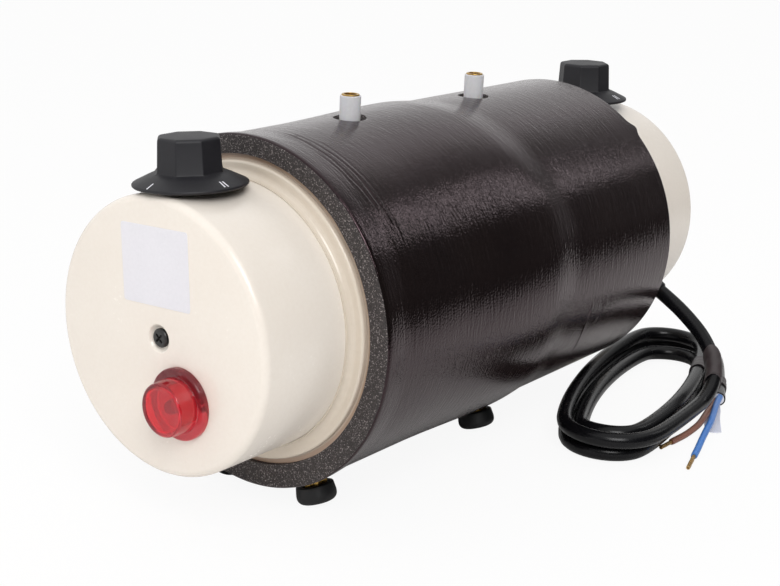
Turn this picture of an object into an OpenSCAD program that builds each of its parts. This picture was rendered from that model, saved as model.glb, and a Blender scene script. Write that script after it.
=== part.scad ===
// Small electric water heater for a caravan: a horizontal tank in a foam jacket, with a cap over the
// fittings at each end, two rotary controls, a pilot lamp, two hose stubs and a coiled supply cord.
// Millimetres, +Z up. The tank lies along Y with its lamp end towards -Y, and stands on the floor z = 0.

/* [Tank] */
// Outer diameter of the tank
tank_d = 132; // [124:1:150]
// Wall thickness of the tank
tank_wall = 3; // [2:0.5:4]
// Length of the tank over its two end plates
tank_len = 238.5; // [225:0.5:260]
// Thickness of an end plate
plate_t = 4; // [3:0.5:5]
// Thickness of an end plate's rim outside the tank's wall
rim_t = 3; // [2:0.5:4]
// How far the rim of an end plate lies inside the tank's outer edge
rim_step = 2.5; // [2:0.1:2.6]

/* [Jacket] */
// Length of tank left bare in front of the jacket
bare_front = 1; // [0.5:0.5:4]
// Length of tank left bare behind the jacket
bare_rear = 8.5; // [4:0.5:12]
// Thickness of the foam
jacket_t = 8.5; // [7:0.1:9]
// How far the foam's outside sits below the tank's axis
jacket_sag = 1.2; // [0:0.1:2]
// Rise of the foam at its waist
hump_h = 1.9; // [0.5:0.1:3]
// Distance of the waist's crest from the jacket's front edge
hump_at = 118; // [105:1:125]
// Length over which the foam rises towards the crest
hump_rise = 70; // [40:1:100]
// Length over which the foam falls behind the crest
hump_fall = 24; // [12:1:40]
// Flare of the cut front edge
flare_h = 1; // [0.2:0.1:2]
// Length of the flare
flare_len = 16; // [8:1:30]
// Rounding of the jacket's edges
jacket_round = 1.2; // [0.5:0.1:2]

/* [End caps] */
// How far a cap's wall lies inside the tank's outer edge
cap_step = 9; // [8.5:0.1:11]
// Length of a cap from the tank's end plate
cap_len = 48.5; // [46:0.5:55]
// Wall thickness of a cap
cap_wall = 2.5; // [2:0.1:3]
// Rounding of a cap's edge
cap_round = 4; // [3:0.5:6]
// Diameter of the dished recess for the centre screw
dish_d = 13; // [11:0.5:16]
// Depth of the dished recess
dish_depth = 2; // [1.8:0.1:2.4]
// Height of the flared collar that a cap stands in
collar_h = 3; // [2:0.1:3]
// Thickness of the collar's edge
collar_edge = 0.5; // [0.3:0.1:0.8]

/* [Controls] */
// Distance of the front knob's axis behind the front cap's face
front_knob_back = 21; // [18:0.5:23]
// Lean of the front knob's axis from the vertical, to the left
front_lean = 3.8; // [0:0.1:6]
// Distance of the rear knob's axis in front of the rear cap's face
rear_knob_back = 25; // [24:0.5:25]
// Lean of the rear knob's axis from the vertical, to the left
rear_lean = 1.6; // [0:0.1:3]
// Diameter of a knob's skirt
skirt_d = 46; // [42:0.2:50]
// Height of a knob's skirt
skirt_h = 5.6; // [5.2:0.1:8]
// Distance over flats of a knob's grip at its foot
grip_af = 26; // [23:0.2:28]
// Distance over flats of a knob's grip at its top
grip_af_top = 24; // [21:0.2:26]
// Height of a knob over all
knob_h = 19.4; // [17:0.2:24]
// Clear height between the front cap and the skirt above it
front_gap = 0.8; // [0.6:0.1:2]
// Clear height between the rear cap and the skirt above it
rear_gap = 2.8; // [2.4:0.1:3]
// Diameter of a control's shaft
shaft_d = 6; // [5:0.5:7]
// Diameter of a control's threaded bush
bush_d = 10; // [9:0.5:12]
// Width of the rotary switch
switch_w = 24; // [20:1:28]
// Height of the rotary switch
switch_h = 18; // [14:1:22]
// Diameter of the thermostat
thermostat_d = 34; // [28:1:38]
// Height of the thermostat
thermostat_h = 14; // [10:1:18]

/* [Pilot lamp] */
// Lamp's place to the right of the axis
lamp_x = 13; // [10:0.5:20]
// Lamp's place below the axis
lamp_drop = 23.5; // [22:0.5:28]
// Diameter of the lens's flange
lens_flange_d = 29.4; // [27:0.2:31]
// Thickness of the lens's flange
lens_flange_t = 2.8; // [2:0.2:4]
// Diameter of the lens
lens_d = 21.7; // [20:0.1:24]
// How far the lens stands out of the cap
lens_out = 11.5; // [10:0.5:16]
// Wall of the lens
lens_wall = 1.4; // [1:0.1:2]

/* [Heater] */
// Diameter of the heater's flange
flange_d = 56; // [54:1:62]
// Thickness of the heater's flange
flange_t = 4; // [3:0.5:6]
// Diameter of the heater's opening in the tank
heater_hole_d = 38; // [36:1:40]
// Thickness of the gasket
gasket_t = 2; // [1:0.5:3]
// Diameter of the heating rods
rod_d = 8; // [6.5:0.5:9]
// Distance between a rod's two legs, and between the two rods
rod_pitch = 18; // [17:0.5:20]
// Reach of the rods into the tank
rod_reach = 128; // [100:1:135]

/* [Water stubs] */
// Outer diameter of a hose stub
stub_d = 9.2; // [8:0.1:11]
// How far a stub stands above the foam
stub_out = 9; // [7:0.5:14]
// Bore of a stub's plastic tube
stub_bore = 7; // [5:0.1:7.4]
// Bore of a stub's brass lining
lining_bore = 5.6; // [4:0.1:6]
// Distance of the cold stub from the jacket's front edge
cold_at = 63.5; // [55:0.5:75]
// Distance of the hot stub from the jacket's front edge
hot_at = 156; // [148:0.5:165]
// Diameter of the holes in the foam round the stubs
stub_hole_d = 14.4; // [13:0.2:18]

/* [Feet] */
// Clear height between the jacket's end and the floor
floor_gap = 8.7; // [8:0.1:12]
// Lean of the feet from the vertical
foot_lean = 18; // [14:0.5:20]
// Diameter of a rubber foot
foot_d = 17.6; // [16:0.2:19]
// Rounding of a foot's lower edge
foot_round = 3; // [2:0.5:4]
// Depth to which a foot is pressed flat on the floor
foot_squash = 1; // [0.5:0.1:1.5]
// Distance of the front feet from the jacket's front edge
foot_front_at = 18; // [16:0.5:30]
// Distance of the rear feet from the jacket's front edge
foot_rear_at = 137; // [130:0.5:150]
// Diameter of the foot screws
foot_screw_d = 6; // [5:0.5:8]

/* [Cord] */
// Diameter of the cord
cord_d = 7.5; // [6.5:0.1:7.6]
// Distance of the cable gland behind the tank's rear end
gland_back = 10.5; // [10.5:0.5:14]
// Diameter of a wire in the cord
wire_d = 3.2; // [2.5:0.1:3.4]

/* [Fits] */
// Radial clearance of running and threaded fits
fit = 0.05; // [0.03:0.01:0.1]
// Clearance between resting pieces
rest = 0.1; // [0.05:0.05:0.3]

/* [Hidden] */
$fn = 64;
tank_r = tank_d / 2;
cap_r = tank_r - cap_step;
cap_in = cap_r - cap_wall;
front_y = -bare_front;
rear_y = front_y + tank_len;
front_face = front_y - cap_len;
rear_face = rear_y + cap_len;
jacket_len = tank_len - bare_front - bare_rear;
jacket_r = tank_r + jacket_t;
axis_z = jacket_r + jacket_sag + floor_gap;
mid_y = (front_face - lens_out + rear_face) / 2;
shell_in = tank_r - tank_wall;
plug_depth = 5;
plug_wall = 4;

// Screws, posts and nuts
screw_r = 2;
screw_head_r = 3.9;
screw_head_h = 1.8;
post_r = 4.6;
post_stud = 2.6;
boss_r = 7;
boss_h = 3.4;
thread_grip = 9;
bolt_circle_r = 23.2;
bolt_head_r = 3.4;
bolt_head_h = 2.8;
nut_af = 14;
nut_t = 2.4;

// Controls
front_knob_y = front_face + front_knob_back;
rear_knob_y = rear_face - rear_knob_back;
switch_d = switch_w - 2;
switch_top = sqrt(cap_in * cap_in - switch_w * switch_w / 4) - rest;
thermostat_top = sqrt(cap_in * cap_in - thermostat_d * thermostat_d / 4) - rest;
shaft_root = 6;
bush_top = cap_r + nut_t + 1;
hub_clear = 0.6;
knob_bore = knob_h - 4;
shaft_top = cap_r + knob_bore;
grip_turn = 22.5;
skirt_rim = 1.5;
skirt_wall = 2;

// Sensor of the thermostat
pocket_z = 15;
pocket_r = 5;
pocket_in = 4;
pocket_len = 78;
pocket_flange_r = 9;
pocket_flange_t = 3;
bulb_r = pocket_in - 0.2;
bulb_len = 62;
capillary_r = 1;
capillary_bend = 8;
capillary_back = 5;

// Water stubs
stub_r = stub_d / 2;
stub_flange_r = 6.4;
stub_flange_h = 2;
stub_root = shell_in - 4;
stub_top = jacket_r + stub_out;
dip_r = stub_bore / 2 - fit;
dip_end = shell_in - 13;

// Feet
foot_r = foot_d / 2;
foot_drop = axis_z + foot_squash - foot_round - (foot_r - foot_round) * sin(foot_lean);
foot_end = foot_round + foot_drop / cos(foot_lean);
foot_top = jacket_r + jacket_sag + 1.6;
foot_nut_t = 4.6;
foot_nut_r = 5.8;
foot_recess = 3.5;
foot_sole = 3;
insert_r = 7;
insert_depth = 9;
insert_floor = 2;

// Lamp
lamp_hole_r = 9;
holder_back = 18;
lamp_nut_r = 12;
lamp_nut_t = 3;
neon_r = 3;
neon_out = 8;

// Heater
rod_head = 6;
bead_t = 3;
blade_t = 0.8;
blade_l = 6;
blade_w = 4;
cutout_r = 7.6;
cutout_t = 6;
cutout_z = 19.5;

// Cable gland and terminal block, on a line that falls 1 in 2
gland_fall = atan(0.5);
gland_y = rear_y + gland_back;
gland_hole_r = 5.6;
gland_flange_r = 7.2;
gland_flange_t = 2.4;
gland_nose = 7;
gland_in = 7;
gland_nut_r = 7.8;
gland_nut_t = 3.4;
block_r0 = 14;
block_r1 = 36;
block_w = 24;
block_y = gland_back + 7;

// Cord: places are in the part's own frame, on the floor z = 0
cord_r = cord_d / 2;
lead_sides = 10;
lead_start = cap_in - 14;
lead_exit = cap_r + rest + gland_flange_t + gland_nose + 1;
function on_gland(r) = [r * cos(gland_fall), gland_y - mid_y, axis_z - r * sin(gland_fall)];
lead_route = [
  on_gland(lead_start), on_gland(cap_r), on_gland(lead_exit),
  [74.2, 134.9, 46.7], [86.5, 132.7, 38.9], [94.1, 129.7, 32.9], [99.5, 125.9, 27.6], [103.1, 121.4, 23.1],
  [105.2, 116.3, 19.3], [106.4, 110.7, 16.4], [106.9, 104.9, 14.3], [107.2, 98.9, 13.1]
];
hank_centre = [68.6, 112.9];
hank_turn = 15.6;
hank_half_w = 33.4;
hank_half_l = 92.9;
hank_end_r = 26.4;
hank_bulge = hank_half_w - hank_end_r;
hank_step = 8.4;
hank_fan = 0.58;
hank_slip = 0.47;
hank_layer = 8.2;
hank_floor = 0.8;
hank_turns = 2.95;
hank_tail = 32;
hank_rings = 24;
hank_first = 1;
hank_sides = 6;
run_rings = 4;
tape_at = 32;
tape_side = 27.5;
tape_lean = 8;
tape_span = 19.6;
tape_w = 13;
tape_t = 0.5;
wire_sides = 8;
blue_route = [
  [101.8, 134.2, 5.9], [105.2, 124, 6.3], [108.9, 114.2, 6.4], [114.3, 99.7, 6.2],
  [117.5, 88.7, 5.6], [120.4, 78.5, 4.6], [123, 69.5, 3.4], [125.2, 61.5, 2.6]
];
brown_route = [
  [99.2, 133.1, 3.6], [102.5, 125, 3.8], [105.6, 112, 4],
  [109, 97.5, 3.6], [109.4, 84, 2.6], [108.2, 71, 2]
];
strand_d = 2;
blue_bare = 14;
brown_bare = 9;
filler_route = [[100.6, 133.2], [103, 125.4], [107, 116], [111.8, 107], [116.4, 99]];
filler_w = 8;
filler_t = 0.4;

cream = [0.94, 0.90, 0.81];
black = [0.06, 0.06, 0.07];
brass = [0.78, 0.62, 0.30];
steel = [0.70, 0.71, 0.72];
white = [0.93, 0.93, 0.91];

// Puts what is drawn about the tank's axis, with y = 0 at the jacket's front edge, into the part's frame
module place() {
  translate([0, -mid_y, axis_z]) children();
}

// Turns a shape drawn along Z so that it points along +Y
module along_y() {
  rotate([-90, 0, 0]) children();
}

// Round bar about the line x, z from y0 over a length
module bar(r, y0, len, x = 0, z = 0) {
  translate([x, y0, z]) along_y() cylinder(h = len, r = r);
}

// Turns a shape drawn along Z to lean towards +X by an angle from the vertical
module lean(a) {
  rotate([0, a, 0]) children();
}

// Shapes drawn at the front, with y = 0 at the tank's front end and -Y outwards, and the same at the rear
module at_front() {
  translate([0, front_y, 0]) children();
}
module at_rear() {
  translate([0, rear_y, 0]) rotate([0, 0, 180]) children();
}

// Shapes drawn along Z are turned to a knob's axis, or to the gland's line
module at_front_knob() {
  translate([0, front_knob_y, 0]) lean(-front_lean) children();
}
module at_rear_knob() {
  translate([0, rear_knob_y, 0]) lean(-rear_lean) children();
}
module at_gland() {
  translate([0, gland_y, 0]) lean(90 + gland_fall) children();
}

// Shapes drawn about the lamp's axis, with y = 0 on the front cap's face
module at_lamp() {
  translate([lamp_x, front_face, -lamp_drop]) children();
}

// Points of an arc about a centre, from angle a to angle b
function arc(c, r, a, b, n = 6) =
  [for (i = [0:n]) let (t = a + (b - a) * i / n) c + r * [cos(t), sin(t)]];

// The four feet as [distance along the tank, lean]
feet = [for (y = [foot_front_at, foot_rear_at], s = [-1, 1]) [y, 180 + s * foot_lean]];
module each_foot() {
  for (f = feet) translate([0, f[0], 0]) lean(f[1]) children();
}

// The four bolts of the heater's flange
module each_bolt() {
  for (a = [45:90:315]) rotate([0, a, 0]) translate([bolt_circle_r, 0, 0]) children();
}

// The four legs of the two heating rods
module each_leg() {
  for (x = [-1, 1], z = [-1, 1]) translate([x * rod_pitch / 2, 0, z * rod_pitch / 2]) children();
}

// Tank

module tank_shell() {
  root = shell_in - insert_depth;
  bore = foot_screw_d / 2 + fit;
  color(cream) place() difference() {
    union() {
      difference() {
        bar(tank_r, front_y + rim_t, tank_len - 2 * rim_t);
        bar(shell_in, front_y, tank_len);
      }
      each_foot() translate([0, 0, root]) cylinder(h = insert_depth + tank_wall / 2, r = insert_r);
    }
    each_foot() translate([0, 0, root + insert_floor]) cylinder(h = insert_depth + tank_wall, r = bore);
    for (y = [cold_at, hot_at]) translate([0, y, stub_root - 1]) cylinder(h = tank_r, r = stub_r + fit);
  }
}

// End plate with its rim, the plug inside the tank's wall and the flared collar round a cap's end
module end_plate() {
  rim_r = tank_r - rim_step;
  plug_r = shell_in - fit;
  edge = 1.2;
  collar_in = cap_r + rest;
  collar_out = collar_in + collar_edge;
  along_y() rotate_extrude($fn = 96) polygon(concat(
    [[0, 0], [collar_in, 0], [collar_in, -collar_h]],
    arc([collar_out + collar_h, -collar_h], collar_h, 180, 90),
    arc([rim_r - edge, edge], edge, -90, 0),
    [[rim_r, rim_t], [plug_r, rim_t], [plug_r, rim_t + plug_depth]],
    [[plug_r - plug_wall, rim_t + plug_depth], [plug_r - plug_wall, plate_t], [0, plate_t]]
  ));
}

module tank_front_plate() {
  color(cream) place() at_front() difference() {
    end_plate();
    bar(heater_hole_d / 2, -1, plate_t + 2);
    each_bolt() bar(screw_r + fit, -1, plate_t + 2);
  }
}

module tank_rear_plate() {
  color(cream) place() at_rear() difference() {
    end_plate();
    bar(pocket_r + fit, -1, plate_t + 2, 0, pocket_z);
    bar(screw_r + fit, -1, 1 + post_stud + rest);
  }
}

// Jacket of black foam, thicker below, with a rise at its waist and a flared front edge

function swell(t) = t <= 0 ? 0 : t >= 1 ? 1 : (1 - cos(180 * t)) / 2;
function waist(y) = y < hump_at ? swell(1 + (y - hump_at) / hump_rise) : swell(1 - (y - hump_at) / hump_fall);
function flare(y) = 1 - swell(y / flare_len);
function foam_r(y) = jacket_r + hump_h * waist(y) + flare_h * flare(y);

module insulation_jacket() {
  bands = 56;
  step = (jacket_len - 2 * jacket_round) / bands;
  r0 = foam_r(0) - jacket_round;
  r1 = foam_r(jacket_len) - jacket_round;
  color(black) place() difference() {
    translate([0, 0, -jacket_sag]) along_y() rotate_extrude($fn = 96) polygon(concat(
      [[tank_r / 2, 0]],
      arc([r0, jacket_round], jacket_round, -90, 0, 4),
      [for (i = [1:bands - 1]) [foam_r(jacket_round + i * step), jacket_round + i * step]],
      arc([r1, jacket_len - jacket_round], jacket_round, 0, 90, 4),
      [[tank_r / 2, jacket_len]]
    ));
    bar(tank_r + rest, -1, jacket_len + 2);
    for (y = [cold_at, hot_at]) translate([0, y, 0]) cylinder(h = 2 * tank_r, d = stub_hole_d);
    each_foot() cylinder(h = 2 * tank_r, r = foot_nut_r + 0.7);
  }
}

// End caps

// Cup with a rounded edge, a dished centre and a boss behind it, open towards +Y at y = 0
module cap_cup() {
  bore_round = max(cap_round - cap_wall, 0.5);
  dish_round = 1;
  boss_end = cap_wall + boss_h - cap_len;
  difference() {
    along_y() rotate_extrude($fn = 96) polygon(concat(
      [[0, dish_depth - cap_len]],
      arc([dish_d / 2 - dish_round, dish_depth - dish_round - cap_len], dish_round, 90, 0, 4),
      [[dish_d / 2, -cap_len]],
      arc([cap_r - cap_round, cap_round - cap_len], cap_round, -90, 0, 8),
      [[cap_r, 0], [cap_in, 0]],
      arc([cap_in - bore_round, cap_wall + bore_round - cap_len], bore_round, 0, -90, 6),
      [[boss_r, cap_wall - cap_len], [boss_r, boss_end], [0, boss_end]]
    ));
    bar(screw_r + 0.2, -cap_len, cap_wall + boss_h + 1);
  }
}

module front_cap() {
  color(cream) place() difference() {
    at_front() cap_cup();
    at_front_knob() cylinder(h = cap_r + 1, r = bush_d / 2 + fit);
    bar(lamp_hole_r, front_face - 1, cap_wall + 2, lamp_x, -lamp_drop);
  }
}

module rear_cap() {
  color(cream) place() difference() {
    at_rear() cap_cup();
    at_rear_knob() cylinder(h = cap_r + 1, r = bush_d / 2 + fit);
    at_gland() cylinder(h = cap_r + 1, r = gland_hole_r + fit);
  }
}

// Pan-head screw whose head rests in a cap's dish, drawn outwards to -Y
module cap_screw() {
  seat = dish_depth - cap_len;
  edge = 1.2;
  recess = 1.2;
  slot_l = 4.4;
  slot_w = 1;
  difference() {
    union() {
      along_y() rotate_extrude() polygon(concat(
        [[0, seat], [screw_head_r, seat], [screw_head_r, seat - 1]],
        arc([screw_head_r - edge, seat - screw_head_h + edge], edge, 0, -90, 4),
        [[0, seat - screw_head_h]]
      ));
      bar(screw_r, seat, cap_wall + boss_h - dish_depth + thread_grip);
    }
    for (a = [45, 135]) rotate([0, a, 0]) translate([-slot_l / 2, seat - screw_head_h - 1, -slot_w / 2])
      cube([slot_l, 1 + recess, slot_w]);
  }
}

module cap_screws() {
  color(black) place() {
    at_front() cap_screw();
    at_rear() cap_screw();
  }
}

// Hexagonal post between a seat at y = -seat and a cap's boss, with a stud behind it
module screw_post(seat) {
  tip = cap_wall + boss_h - cap_len;
  difference() {
    union() {
      translate([0, tip, 0]) along_y() cylinder(h = -seat - tip, r = post_r, $fn = 6);
      bar(screw_r, -seat - 1, 1 + post_stud);
    }
    bar(screw_r + fit, tip - 1, thread_grip + 3);
  }
}

module screw_posts() {
  color(brass) place() {
    at_front() screw_post(gasket_t + flange_t);
    at_rear() screw_post(0);
  }
}

// Controls

// Knob with a conical skirt and an eight-sided grip, drawn from its skirt's lower edge, a gap above a cap
module knob(gap) {
  skirt_r = skirt_d / 2;
  grip_r = grip_af / 2 / cos(22.5);
  top_r = grip_af_top / 2 / cos(22.5);
  corner = 0.965;
  grip_edge = 1.6;
  hollow = skirt_h - skirt_wall;
  hub_r = shaft_d / 2 + 3;
  hub_z = bush_top + hub_clear - cap_r - gap;
  difference() {
    union() {
      rotate_extrude() polygon(concat(
        [[0, 0], [skirt_r - 0.5, 0]],
        arc([skirt_r - skirt_rim / 2, skirt_rim / 2], skirt_rim / 2, -60, 70, 5),
        [[grip_r * corner + 1, skirt_h - 0.4], [grip_r * corner - 1, skirt_h + 0.4], [0, skirt_h + 0.4]]
      ));
      intersection() {
        rotate([0, 0, grip_turn]) cylinder(h = knob_h, r1 = grip_r, r2 = top_r, $fn = 8);
        rotate_extrude() polygon(concat(
          [[0, 1], [grip_r * corner, 1]],
          arc([top_r * corner - grip_edge, knob_h - grip_edge - 0.3], grip_edge, 5, 80, 5),
          [[0, knob_h]]
        ));
      }
    }
    translate([0, 0, -1]) cylinder(h = 1 + knob_bore, r = shaft_d / 2 + fit);
    translate([0, 0, -1]) cylinder(h = 1 + hub_z, r = hub_r + 0.5);
    rotate_extrude() polygon([
      [hub_r, -1], [skirt_r - 2.4, -1], [skirt_r - 3, 0], [grip_r * corner - 1, hollow], [hub_r, hollow]
    ]);
  }
}

module front_knob() {
  color(black) place() at_front_knob() translate([0, 0, cap_r + front_gap]) knob(front_gap);
}

module rear_knob() {
  color(black) place() at_rear_knob() translate([0, 0, cap_r + rear_gap]) knob(rear_gap);
}

// Shaft of a control, from inside its body to inside its knob
module control_shaft(body_top) {
  translate([0, 0, body_top - shaft_root]) cylinder(h = shaft_top - body_top + shaft_root, r = shaft_d / 2);
}

module switch_shaft() {
  color(steel) place() at_front_knob() control_shaft(switch_top);
}

module thermostat_shaft() {
  color(steel) place() at_rear_knob() control_shaft(thermostat_top);
}

// Threaded bush above a control's body, bored for its shaft
module control_bush(body_top) {
  translate([0, 0, body_top - 0.5]) cylinder(h = bush_top - body_top + 0.5, r = bush_d / 2);
}
module bush_bore(body_top) {
  translate([0, 0, body_top - shaft_root - rest]) cylinder(h = shaft_top, r = shaft_d / 2 + fit);
}

module switch_body() {
  tag_w = 4;
  tag_t = 0.8;
  tag_h = 7;
  root = switch_top - switch_h;
  color([0.16, 0.16, 0.17]) place() at_front_knob() difference() {
    union() {
      translate([-switch_w / 2, -switch_d / 2, root]) cube([switch_w, switch_d, switch_h]);
      control_bush(switch_top);
      for (x = [-1, 0, 1]) translate([x * switch_w / 3 - tag_w / 2, -tag_t / 2, root - tag_h])
        cube([tag_w, tag_t, tag_h + 1]);
    }
    bush_bore(switch_top);
  }
}

module thermostat_body() {
  color([0.82, 0.80, 0.74]) place() at_rear_knob() difference() {
    union() {
      translate([0, 0, thermostat_top - thermostat_h]) cylinder(h = thermostat_h, d = thermostat_d);
      control_bush(thermostat_top);
    }
    bush_bore(thermostat_top);
  }
}

// Nut on a bush, above the cap
module control_nut() {
  translate([0, 0, cap_r + rest / 2]) difference() {
    cylinder(h = nut_t, r = nut_af / 2 / cos(30), $fn = 6);
    translate([0, 0, -1]) cylinder(h = nut_t + 2, r = bush_d / 2 + fit);
  }
}

module switch_nut() {
  color(steel) place() at_front_knob() control_nut();
}

module thermostat_nut() {
  color(steel) place() at_rear_knob() control_nut();
}

// Thermostat's capillary: down from the body, round a bend and forwards into the pocket
module capillary() {
  y = rear_knob_y + capillary_back;
  bend_z = pocket_z + capillary_bend;
  bulb_back = rear_y - pocket_len + 3 + bulb_len;
  color([0.72, 0.45, 0.30]) place() {
    translate([0, y, bend_z]) cylinder(h = thermostat_top - thermostat_h - bend_z, r = capillary_r);
    translate([0, y - capillary_bend, bend_z]) rotate([90, 0, 90]) rotate_extrude(angle = -90)
      translate([capillary_bend, 0]) circle(capillary_r);
    bar(capillary_r, bulb_back, y - capillary_bend - bulb_back, 0, pocket_z);
  }
}

module sensor_bulb() {
  color([0.72, 0.45, 0.30]) place() bar(bulb_r, rear_y - pocket_len + 3, bulb_len, 0, pocket_z);
}

module sensor_pocket() {
  color(brass) place() difference() {
    union() {
      bar(pocket_r, rear_y - pocket_len, pocket_len + 1, 0, pocket_z);
      bar(pocket_flange_r, rear_y, pocket_flange_t, 0, pocket_z);
    }
    bar(pocket_in, rear_y - pocket_len + 1.5, pocket_len + pocket_flange_t, 0, pocket_z);
  }
}

// Heater

module heater_flange() {
  color(brass) place() at_front() difference() {
    bar(flange_d / 2, -gasket_t - flange_t, flange_t);
    each_bolt() bar(screw_r + 0.2, -gasket_t - flange_t - 1, flange_t + 2);
    each_leg() bar(rod_d / 2 + fit, -gasket_t - flange_t - 1, flange_t + 2);
    bar(screw_r + fit, -gasket_t - flange_t - 1, 1 + post_stud + rest);
  }
}

module heater_gasket() {
  color(black) place() at_front() difference() {
    bar(flange_d / 2 - 0.5, -gasket_t, gasket_t);
    bar(heater_hole_d / 2, -gasket_t - 1, gasket_t + 2);
    each_bolt() bar(screw_r + 0.2, -gasket_t - 1, gasket_t + 2);
  }
}

module flange_bolts() {
  seat = -gasket_t - flange_t;
  color(steel) place() at_front() each_bolt() {
    translate([0, seat - bolt_head_h, 0]) along_y() cylinder(h = bolt_head_h, r = bolt_head_r, $fn = 6);
    bar(screw_r, seat - 0.5, plate_t + 1 - seat);
  }
}

// Push-on blade that stands out to -Y from y
module blade(y, x = 0, z = 0) {
  translate([x - blade_t / 2, y - blade_l, z - blade_w / 2]) cube([blade_t, blade_l + 0.5, blade_w]);
}

// Two hairpin rods, one above the other
module heating_rods() {
  root = gasket_t + flange_t + rod_head;
  color(steel) place() at_front() {
    each_leg() bar(rod_d / 2, -root, root + rod_reach);
    for (z = [-1, 1]) translate([0, rod_reach, z * rod_pitch / 2]) rotate_extrude(angle = 180)
      translate([rod_pitch / 2, 0]) circle(rod_d / 2);
  }
}

// Ceramic bead and blade at the head of each leg
module rod_terminals() {
  y = -gasket_t - flange_t - rod_head;
  color(white) place() at_front() each_leg() {
    bar(rod_d / 2 - 1.2, y - bead_t, bead_t);
    blade(y - bead_t);
  }
}

module safety_cutout() {
  y = -gasket_t - flange_t;
  color([0.20, 0.20, 0.22]) place() at_front() {
    bar(cutout_r, y - cutout_t, cutout_t, 0, cutout_z);
    for (x = [-1, 1]) blade(y - cutout_t, x * cutout_r / 2, cutout_z);
  }
}

// Pilot lamp

module pilot_lens() {
  lens_r = lens_d / 2;
  flange_r = lens_flange_d / 2;
  edge = 0.8;
  color([0.85, 0.06, 0.08, 0.8]) place() at_lamp() along_y() rotate_extrude() polygon(concat(
    [[lens_r - lens_wall, 0], [flange_r, 0], [flange_r, edge - lens_flange_t]],
    arc([flange_r - edge, edge - lens_flange_t], edge, 0, -90, 4),
    [[lens_r, -lens_flange_t]],
    arc([lens_r - edge, edge - lens_out], edge, 0, -90, 4),
    [[0, -lens_out], [0, lens_wall - lens_out], [lens_r - lens_wall, lens_wall - lens_out]]
  ));
}

module lamp_holder() {
  holder_r = lamp_hole_r - fit;
  holder_out = 3;
  color(white) place() at_lamp() difference() {
    union() {
      bar(holder_r, -holder_out, holder_out + holder_back);
      rotate([0, 0, 180]) for (x = [-1, 1]) blade(-holder_back, x * holder_r / 2);
    }
    bar(neon_r + rest, -holder_out - 1, holder_out + 2);
  }
}

module lamp_nut() {
  color(black) place() at_lamp() translate([0, cap_wall, 0]) difference() {
    along_y() cylinder(h = lamp_nut_t, r = lamp_nut_r, $fn = 6);
    bar(lamp_hole_r, -1, lamp_nut_t + 2);
  }
}

// Neon bulb in the holder, round-ended inside the lens
module neon_lamp() {
  color([1, 0.75, 0.55, 0.6]) place() at_lamp() along_y() rotate_extrude() polygon(concat(
    [[0, 1], [neon_r, 1]],
    arc([0, neon_r - neon_out], neon_r, 0, -80, 6),
    [[0, -neon_out]]
  ));
}

// Mains connection in the rear cap

module terminal_block() {
  pole = block_w / 3;
  hole_r = 1.9;
  hole_in = 5;
  slot_w = 1.2;
  slot_d = 4;
  color(white) place() at_gland() translate([0, -gland_back, 0]) difference() {
    translate([-block_w / 2, 0, block_r0]) cube([block_w, block_y, block_r1 - block_r0]);
    for (i = [-1, 0, 1], z = [block_r0 + hole_in, block_r1 - hole_in])
      translate([i * pole, block_y - 6, z]) along_y() cylinder(h = 7, r = hole_r);
    for (i = [-1, 1]) translate([(i * pole - slot_w) / 2, block_y - slot_d, block_r0 - 1])
      cube([slot_w, slot_d + 1, block_r1 - block_r0 + 2]);
  }
}

module cable_gland() {
  base = cap_r + rest;
  foot = base + gland_flange_t;
  tip = foot + gland_nose;
  tip_r = cord_r + 1.6;
  edge = 0.8;
  color(black) place() at_gland() rotate_extrude() polygon(concat(
    [[cord_r + rest, cap_in - gland_in], [gland_hole_r, cap_in - gland_in], [gland_hole_r, base]],
    [[gland_flange_r, base]],
    arc([gland_flange_r - edge, foot - edge], edge, 0, 90, 3),
    [[gland_hole_r + 0.4, foot], [tip_r, tip - edge], [tip_r - edge, tip], [cord_r + rest, tip]]
  ));
}

module gland_nut() {
  top = sqrt(cap_in * cap_in - gland_nut_r * gland_nut_r) - rest;
  color(black) place() at_gland() translate([0, 0, top - gland_nut_t]) difference() {
    rotate([0, 0, 30]) cylinder(h = gland_nut_t, r = gland_nut_r, $fn = 6);
    translate([0, 0, -1]) cylinder(h = gland_nut_t + 2, r = gland_hole_r + fit);
  }
}

// Water stubs

module hose_stub(y) {
  edge = 0.5;
  seat = tank_r + rest;
  translate([0, y, 0]) rotate_extrude() polygon([
    [stub_bore / 2, stub_root], [stub_r, stub_root], [stub_r, seat], [stub_flange_r, seat],
    [stub_flange_r, seat + stub_flange_h], [stub_r, seat + stub_flange_h], [stub_r, stub_top - edge],
    [stub_r - edge, stub_top], [stub_bore / 2, stub_top]
  ]);
}

module cold_stub() {
  color(white) place() hose_stub(cold_at);
}

module hot_stub() {
  color(white) place() hose_stub(hot_at);
}

// Brass lining whose turned-over end shows at a stub's mouth
module stub_linings() {
  foot_z = tank_r - 2;
  lip_t = 0.6;
  lip_r = stub_r - 0.7;
  bore = lining_bore / 2;
  outside = stub_bore / 2 - fit;
  color(brass) place() for (y = [cold_at, hot_at]) translate([0, y, 0]) rotate_extrude() polygon([
    [bore, foot_z], [outside, foot_z], [outside, stub_top], [lip_r, stub_top],
    [lip_r - 0.2, stub_top + lip_t], [bore, stub_top + lip_t]
  ]);
}

// Tube that leads the cold water to the tank's floor
module dip_tube() {
  color(white) place() translate([0, cold_at, 0]) difference() {
    translate([0, 0, -dip_end]) cylinder(h = tank_r - 3 + dip_end, r = dip_r);
    translate([0, 0, -dip_end - 1]) cylinder(h = tank_r + dip_end, r = dip_r - 0.8);
    translate([-stub_d, -dip_r / 2, -dip_end - 1]) cube([2 * stub_d, dip_r, 5]);
  }
}

// Feet

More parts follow.
